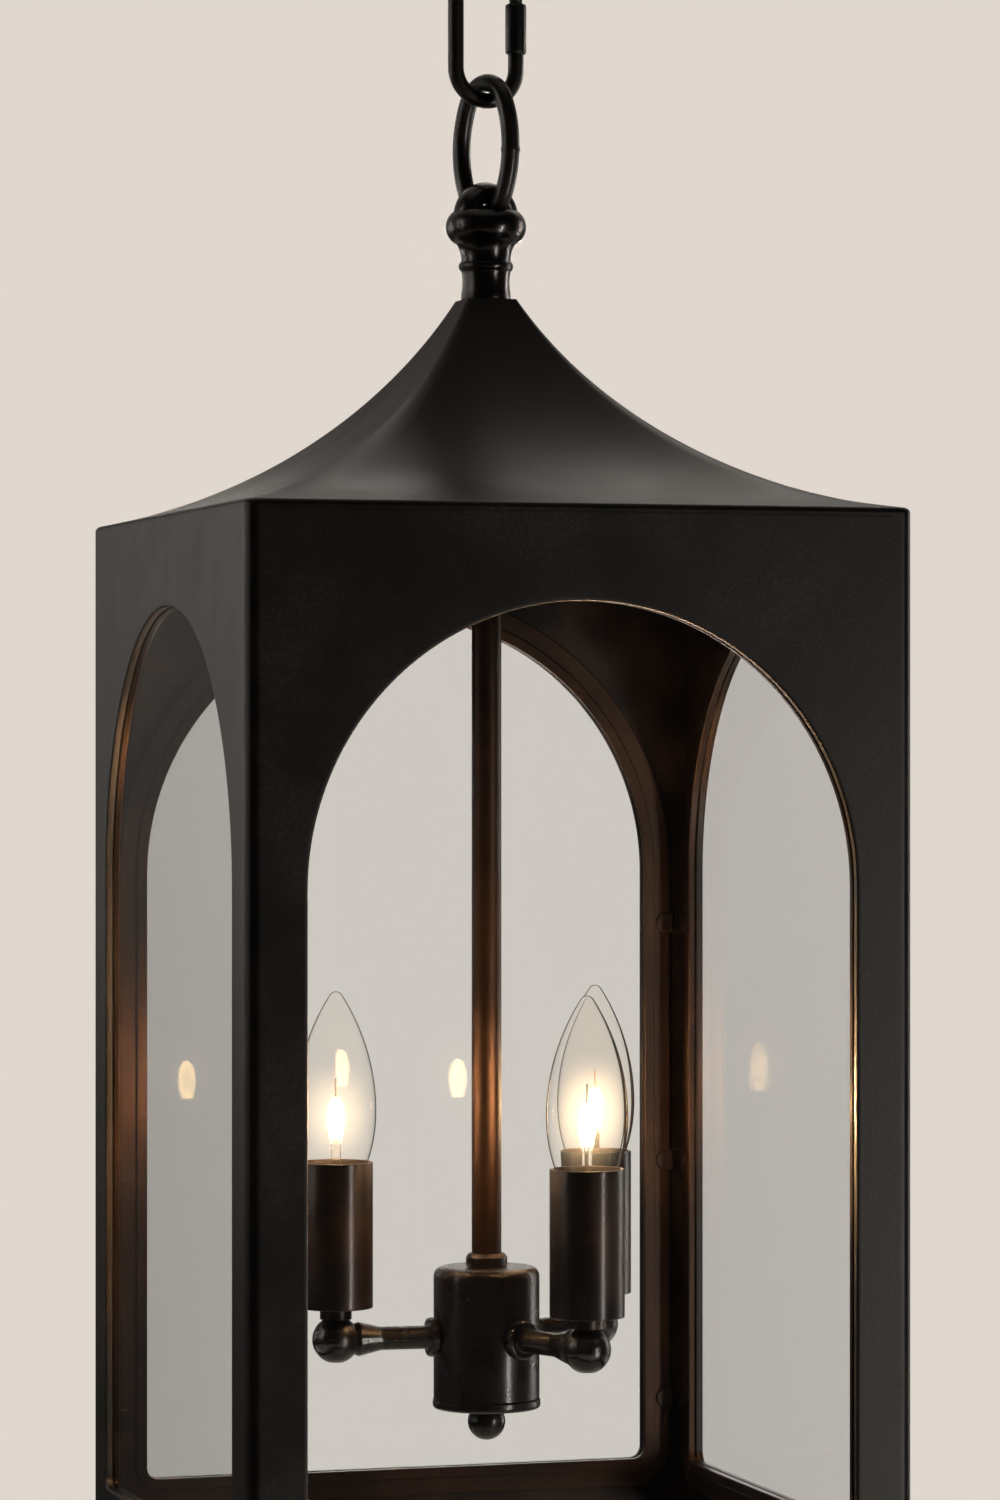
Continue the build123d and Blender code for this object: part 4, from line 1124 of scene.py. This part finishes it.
@dataclass
class Cluster:
    """Stem, hub, arms, elbows and candle sleeves."""

    finishes: Finishes
    stem_radius: float = 6.1
    stem_bore: float = 4.5
    stem_foot: float = -589.3
    stem_top: float = -128.8
    stem_hole: float = 6.2
    collar_height: float = 5.5
    collar_brim: float = 7.2
    collar_radius: float = 8.5
    collar_shoulder: float = 3.9
    hub_radius: float = 21.75
    hub_top: float = -538.8
    hub_crown: float = 4.0
    hub_wall: float = 1.8
    hub_chamfer: Point = (0.6, 0.25)
    cap_top: float = -592.8
    cap_chamfer: Point = (0.7, 0.35)
    cap_lip: float = 0.4
    cap_round: float = 1.6
    hub_bottom: float = -596.8
    knob_radius: float = 7.7
    knob_drop: float = 5.5
    knob_spigot: Point = (4.4, 6.0)
    arm_z: float = -567.3
    arm_radius: float = 4.75
    arm_bore: float = 3.25
    arm_entry: float = 6.8
    boss_radius: float = 8.0
    boss_ends: Point = (-0.6, 3.3)
    boss_fillet: Point = (0.4, 0.7)
    cone_length: float = 9.0
    cone_end: Point = (7.0, 0.2)
    cone_seat: Point = (6.2, 2.6)
    ball: float = 9.65
    ball_head: float = 8.4
    ball_foot: float = 9.1
    candle_foot: float = -554.3
    candle_height: float = 59.5
    candle_radius: float = 15.1
    candle_wall: float = 1.2
    candle_hole: float = 4.85

    def build(self) -> None:
        """Builds the middle pieces and then the three arms."""
        self.build_stem()
        self.build_hub()
        for number, azimuth in enumerate(ARM_AZIMUTHS, start=1):
            self.build_arm(number, direction(azimuth))

    def add(self, name: str, outline: np.ndarray, node: str, foot: np.ndarray = np.zeros(3),
            axis: np.ndarray = UP) -> None:
        """Turns one outline about an axis and lets it stand for a node.

        Args:
            name: Name of the piece.
            outline: Rows of radius and height.
            node: Frame node that the piece replaces.
            foot: Point on the axis at height zero.
            axis: Unit vector along the axis.
        """
        finish = self.finishes.turned
        # the stem takes the finish with the painted copper sheen
        if node == "stem":
            finish = self.finishes.stem
        # candle sleeves take the finish with the painted copper sheen
        elif node.startswith("candle_sleeve"):
            finish = self.finishes.candle
        piece = make_piece(name, [Surface(turned(outline, foot, axis, segments=112))], finish)
        place(piece, Body.LANTERN.value, Slot.BRONZE, node)

    def build_stem(self) -> None:
        """Turns the stem's tube and the collar where it enters the hub."""
        bore, tube, low, high = self.stem_bore, self.stem_radius, self.stem_foot, self.stem_top
        self.add("stem_tube", rounded([(bore, low, 0), (tube, low, 0.3), (tube, high, 0.3), (bore, high, 0)]),
                 "stem")
        hole, seat, crest = self.stem_hole, self.hub_top, self.hub_top + self.collar_height
        shoulder = seat + self.collar_shoulder
        self.add("stem_collar_ring", rounded([
            (hole, crest, 0), (self.collar_brim, crest, 0.4), (self.collar_radius, shoulder, 0.9),
            (self.collar_radius, seat, 0.2), (hole, seat, 0)]), "stem_collar")

    def build_hub(self) -> None:
        """Turns the hub's cup, its lid and the ball under it."""
        cup, seam, bottom = self.hub_radius, self.cap_top, self.hub_bottom
        ceiling, wall = self.hub_top - self.hub_crown, cup - self.hub_wall
        in_by, up_by = self.hub_chamfer
        self.add("hub_cup", rounded([
            (self.stem_hole, self.hub_top, 0), (cup, self.hub_top, self.hub_crown),
            (cup, seam + up_by, up_by), (cup - in_by, seam, 0.1), (wall, seam, 0.2), (wall, ceiling, 1.5),
            (self.stem_hole, ceiling, 0)], 10), "hub_body")
        in_by, down_by = self.cap_chamfer
        lip = cup + self.cap_lip
        self.add("hub_lid", rounded([
            (self.stem_bore, seam, 0), (cup - in_by, seam, 0.1), (lip, seam - down_by, 0.4),
            (lip, bottom, self.cap_round), (self.stem_bore, bottom, 0)], 8), "hub_cap")
        spigot, rise = self.knob_spigot
        start = math.degrees(math.asin(self.knob_drop / self.knob_radius))
        ball = arc((0, bottom - self.knob_drop), self.knob_radius, start, -90, 40)
        knob = np.concatenate([[[0.0, bottom + rise], [spigot, bottom + rise], [spigot, bottom]], ball])
        self.add("hub_knob", knob, "hub_finial")

    def build_arm(self, number: int, outward: np.ndarray) -> None:
        """Builds one arm with its boss and cone, the ball elbow and the candle sleeve.

        Args:
            number: Number of the arm.
            outward: Level unit vector along the arm.
        """
        hub, near, tube, bore = self.hub_radius, ARM_REACH - self.ball, self.arm_radius, self.arm_bore
        start, end = (hub + offset for offset in self.boss_ends)
        fillet_up, fillet_along = self.boss_fillet
        cone, seat = self.cone_end, self.cone_seat
        bar = rounded([
            (bore, hub - self.arm_entry, 0), (tube, hub - self.arm_entry, 0.2), (tube, start, 0),
            (self.boss_radius, start, 0.2), (self.boss_radius, end, 1.3), (tube + fillet_up, end, 0.3),
            (tube, end + fillet_along, 0.3), (tube, near - self.cone_length, 2.0),
            (cone[0], near + cone[1], 0.6), (seat[0], near + seat[1], 0.3), (bore, near + seat[1], 0)])
        middle = self.arm_z * UP
        self.add(f"arm_bar_{number}", bar, f"arm_{number}", middle, outward)
        head, foot = (math.degrees(math.asin(flat / self.ball)) for flat in (self.ball_head, self.ball_foot))
        dome = arc((0, 0), self.ball, head, -foot, 44)
        elbow = np.concatenate([[[bore, self.ball_head]], dome, [[0.0, -self.ball_foot]]])
        self.add(f"ball_{number}", elbow, f"ball_elbow_{number}", middle + outward * ARM_REACH)
        out, tall, wall, hole = self.candle_radius, self.candle_height, self.candle_wall, self.candle_hole
        cup = rounded([(hole, 0, 0), (out, 0, 0.5), (out, tall, 0.45), (out - wall, tall, 0.45),
                       (out - wall, wall, 0.6), (hole, wall, 0)])
        self.add(f"candle_cup_{number}", cup, f"candle_sleeve_{number}",
                 outward * ARM_REACH + self.candle_foot * UP)


@dataclass
class Bulb:
    """One torpedo bulb: blown shell, glass mount, support wire and glowing filament."""

    finishes: Finishes
    number: int
    azimuth: float
    base: float = -508.3
    radius: float = 16.5
    neck: float = 6.6
    waist: float = 34.0
    taper: float = 49.0
    tip: float = 3.0
    glass: float = 0.3
    hoop_half: float = 3.4
    hoop_rise: float = 8.5
    hoop_middle: float = 31.0
    hoop_wire: float = 0.42
    hoop_span: Point = (-75, 255)
    hoop_step: int = 30
    rod_radius: float = 0.45
    rod_ends: Point = (24.0, 47.5)

    def outline(self, inset: float, count: int) -> np.ndarray:
        """Envelope from neck to tip: two arcs that share a level tangent at the waist, and a round tip.

        Args:
            inset: Depth below the outer surface.
            count: Points on each of the two arcs.

        Returns:
            Rows of radius and height.
        """
        spread = self.radius - self.neck
        lower = (self.waist**2 + spread**2) / (2 * spread)
        rise = self.taper - self.tip
        upper = (rise**2 + self.radius**2 - self.tip**2) / (2 * (self.radius - self.tip))
        low_end = math.degrees(math.asin(self.waist / (lower - inset)))
        high_end = math.degrees(math.asin(rise / (upper - self.tip)))
        return np.concatenate([
            arc((self.radius - lower, self.waist), lower - inset, -low_end, 0, count),
            arc((self.radius - upper, self.waist), upper - inset, 0, high_end, count)[1:],
            arc((0, self.waist + rise), self.tip - inset, high_end, 90, 10)[1:]])

    def mount(self) -> np.ndarray:
        """Outline of the glass mount: a flared foot, a slim stem and a bead that holds the wires.

        Returns:
            Rows of radius and height.
        """
        return rounded([(0, 0.3, 0), (5.0, 0.3, 0.4), (3.0, 4.0, 2.0), (2.1, 12, 4.0), (2.0, 21, 1.0),
                        (2.9, 24, 1.0), (2.2, 26, 0.8), (0, 26, 0)], 8)

    def hoops(self, foot: np.ndarray) -> list[Surface]:
        """Six wire hoops about one upright line: ellipses (a cos t, m + b sin t) that are open at the foot.

        Args:
            foot: Foot of the bulb's axis in millimetres.

        Returns:
            One closed tube for each hoop.
        """
        turn = np.radians(np.linspace(*self.hoop_span, 56))
        flat = np.stack([self.hoop_half * np.cos(turn), self.hoop_middle + self.hoop_rise * np.sin(turn)], 1)
        thin = np.full(len(turn), self.hoop_wire)
        thin[[0, -1]] = 0.0
        coils = []
        for azimuth in self.azimuth + np.arange(0, 180, self.hoop_step):
            path = upright(flat, azimuth) + foot
            coils.append(Surface(swept(path, direction(azimuth - 90), thin, thin, closed=False, segments=10)))
        return coils

    def build(self) -> None:
        """Builds the shell, the mount and the filament on the bulb's own body."""
        body = f"bulb_{self.number}"
        foot = direction(self.azimuth) * ARM_REACH + self.base * UP
        shell = np.concatenate([self.outline(0, 40), self.outline(self.glass, 40)[::-1]])
        blown = Surface(turned(shell, foot), close_rows=True)
        glass = make_piece(f"{body}_shell", [blown], self.finishes.bulb)
        glass.visible_shadow = False
        place(glass, body, Slot.BULB, f"bulb_{self.number}_glass")
        mount = make_piece(f"{body}_stem", [Surface(turned(self.mount(), foot, segments=48))],
                           self.finishes.mount)
        mount.visible_shadow = False
        place(mount, body, Slot.BULB, f"bulb_{self.number}_mount")
        filament = make_piece(f"{body}_filament", self.hoops(foot), self.finishes.filament)
        place(filament, body, Slot.BULB)
        low, high = self.rod_ends
        rod = np.array([[0.0, low], [self.rod_radius, low], [self.rod_radius, high], [0.0, high]])
        wire = Surface(turned(rod, foot, segments=12))
        support = make_piece(f"{body}_support", [wire], self.finishes.steel)
        place(support, body, Slot.STEEL)


@dataclass(frozen=True)
class Softbox:
    """Soft area light: its name, its place and size in metres and its power in watts."""

    name: str
    spot: Triple
    size: Point
    energy: float


@dataclass
class Studio:
    """Camera, soft light, pale floor and background."""

    background: Triple = (0.745, 0.68, 0.617)
    camera_place: Triple = (-0.5985, -1.9824, -0.3269)
    camera_turn: float = -16.96
    lens: float = 121.0
    sensor: float = 36.0
    clip_start: float = 0.05
    floor_z: float = -1.7
    floor_radius: float = 3.4
    floor_glow: float = 0.74
    floor_rough: Ramp = Ramp(0.0, 1.0, 0.6, 0.75, smooth=False)
    floor_scale: float = 3.0
    dim: Triple = (0.8, 0.735, 0.66)
    dim_behind: Ramp = Ramp(0.1, 0.75)
    dim_low: Ramp = Ramp(-0.16, 0.2, most=0.16)
    dim_high: Ramp = Ramp(0.28, 0.62, most=0.8)
    dim_right: Ramp = Ramp(0.1, 0.32, least=0.08)
    dim_zenith: Ramp = Ramp(0.7, 0.98, 0.02, 0.35)
    lamp_colour: Triple = (1.0, 0.56, 0.26)
    lamp_energy: float = 1.4
    lamp_size: float = 0.01
    box_colour: Triple = (1.0, 0.93, 0.86)
    box_aim: Triple = (0.0, 0.0, -0.4)
    boxes: tuple[Softbox, ...] = (
        Softbox("right_softbox", (0.95, -1.5, -0.85), (0.24, 1.2), 10.0),
        Softbox("upper_softbox", (0.5, 1.7, 1.3), (1.8, 1.0), 3.0),
        Softbox("left_fill", (-1.9, 0.2, 0.1), (1.0, 1.4), 6.0),
        Softbox("right_side_softbox", (1.8, 0.5, -0.3), (0.5, 1.4), 8.0),
        Softbox("rear_softbox", (0.6, 2.1, -0.5), (0.9, 1.3), 12.0),
        Softbox("rear_left_softbox", (-1.6, 2.0, -0.05), (1.25, 1.0), 6.0))

    def build(self) -> None:
        """Sets up everything that isn't part of the lantern."""
        self.build_camera()
        self.build_world()
        self.build_floor()
        for box in self.boxes:
            self.hang_softbox(box)
        for number, azimuth in enumerate(ARM_AZIMUTHS, start=1):
            self.light_bulb(number, azimuth)

    def build_camera(self) -> None:
        """Places a level camera to the left of the front side."""
        data = bpy.data.cameras.new("camera")
        data.sensor_fit = "AUTO"
        data.sensor_width = self.sensor
        data.lens = self.lens
        data.clip_start = self.clip_start
        camera = bpy.data.objects.new("camera", data)
        camera.location = self.camera_place
        camera.rotation_euler = (math.radians(90), 0, math.radians(self.camera_turn))
        bpy.context.scene.collection.objects.link(camera)
        bpy.context.scene.camera = camera

    def build_world(self) -> None:
        """Pale backdrop for the camera and straight through glass; a dimmer studio for light and gloss.

        The studio's level is behind x (high x right + low) + zenith, each a ramp over the ray's direction.
        """
        world = bpy.data.worlds.new("studio")
        world.use_nodes = True
        bpy.context.scene.world = world
        graph = NodeGraph(world.node_tree)
        for node in list(world.node_tree.nodes):
            world.node_tree.nodes.remove(node)
        ray = graph.add("ShaderNodeLightPath").outputs
        unreflected = graph.math("LESS_THAN", ray["Glossy Depth"], 0.5)
        through = graph.math("MULTIPLY", ray["Is Transmission Ray"], unreflected)
        seen = graph.math("MAXIMUM", ray["Is Camera Ray"], through)
        where = graph.add("ShaderNodeSeparateXYZ", {0: graph.coordinates("Generated")}).outputs
        behind, right = graph.ramp(where["Y"], self.dim_behind), graph.ramp(where["X"], self.dim_right)
        heights = (self.dim_low, self.dim_high, self.dim_zenith)
        low, high, zenith = (graph.ramp(where["Z"], height) for height in heights)
        bands = graph.math("MULTIPLY_ADD", high, right, low)
        level = graph.math("MULTIPLY_ADD", behind, bands, zenith)
        pale = graph.add("ShaderNodeBackground", {"Color": (*self.background, 1.0), "Strength": 1.0})
        studio = graph.add("ShaderNodeBackground", {"Color": (*self.dim, 1.0), "Strength": level})
        mix = graph.add("ShaderNodeMixShader", {0: seen, 1: studio.outputs[0], 2: pale.outputs[0]})
        graph.add("ShaderNodeOutputWorld", {"Surface": mix.outputs[0]})

    def build_floor(self) -> None:
        """Lays a round pale floor well below the lantern, as a polar grid."""
        rings, spokes = 12, 96
        radius = np.linspace(0, self.floor_radius, rings)[:, None]
        turn = np.linspace(0, TAU, spokes, endpoint=False)[None]
        height = np.full((rings, spokes), self.floor_z)
        flat = np.stack([radius * np.cos(turn), radius * np.sin(turn), height], -1) / MM
        material, graph, shader = start_material("pale_floor")
        tone = graph.noise(graph.coordinates(), self.floor_scale)
        ray = graph.add("ShaderNodeLightPath").outputs
        seen = graph.math("MAXIMUM", ray["Is Camera Ray"], ray["Is Transmission Ray"])
        graph.feed(shader.inputs["Roughness"], graph.ramp(tone, self.floor_rough))
        graph.feed(shader.inputs["Emission Strength"], graph.math("MULTIPLY", seen, self.floor_glow))
        shader.inputs["Emission Color"].default_value = (*self.background, 1.0)
        shader.inputs["Base Color"].default_value = (*self.background, 1.0)
        floor = make_piece("floor", [Surface(flat)], material)

    def add_light(self, data: bpy.types.Light, energy: float, colour: Triple,
                  spot: Triple) -> bpy.types.Object:
        """Adds a light that neither the camera nor a ray through glass sees.

        Multiple importance sampling is off, probably the better choice for metal seen through the panes.

        Args:
            data: The new light's data.
            energy: Power in watts.
            colour: Colour of the light.
            spot: Place in metres.

        Returns:
            The light's object.
        """
        data.energy = energy
        data.color = colour
        data.cycles.use_multiple_importance_sampling = False
        light = bpy.data.objects.new(data.name, data)
        light.location = spot
        light.visible_camera = False
        light.visible_transmission = False
        bpy.context.scene.collection.objects.link(light)
        return light

    def hang_softbox(self, box: Softbox) -> None:
        """Adds an area light that faces the middle of the lantern.

        Args:
            box: Name, place, size and power of the light.
        """
        data = bpy.data.lights.new(box.name, "AREA")
        data.shape = "RECTANGLE"
        data.size, data.size_y = box.size
        light = self.add_light(data, box.energy, self.box_colour, box.spot)
        aim = np.array(self.box_aim) - np.array(box.spot)
        yaw = math.atan2(aim[1], aim[0]) - math.pi / 2
        pitch = math.atan2(aim[2], math.hypot(aim[0], aim[1]))
        light.rotation_euler = (math.pi / 2 + pitch, 0, yaw)

    def light_bulb(self, number: int, azimuth: float) -> None:
        """Puts a warm lamp into a bulb, where it moves with the bulb's shell.

        Args:
            number: Number of the bulb.
            azimuth: Azimuth of its arm in degrees.
        """
        data = bpy.data.lights.new(f"bulb_{number}_light", "POINT")
        data.shadow_soft_size = self.lamp_size
        spot = direction(azimuth) * ARM_REACH * MM + GLOW_Z * UP
        light = self.add_light(data, self.lamp_energy, self.lamp_colour, tuple(spot))
        light.parent = bpy.data.objects[f"bulb_{number}_shell"]


def main() -> None:
    """Builds the lantern's pieces in order, then the studio."""
    logging.basicConfig(level=logging.INFO, format="%(message)s")
    bpy.context.scene.view_settings.view_transform = "Standard"
    finishes = Finishes()
    finishes.dress()
    HangingChain(finishes).build()
    LoopFinial(finishes).build()
    Roof(finishes).build()
    for side in Side:
        Wall(finishes, side).build()
    Cluster(finishes).build()
    for number, azimuth in enumerate(ARM_AZIMUTHS, start=1):
        Bulb(finishes, number, azimuth).build()
    Studio().build()


if __name__ == "__main__":
    main()
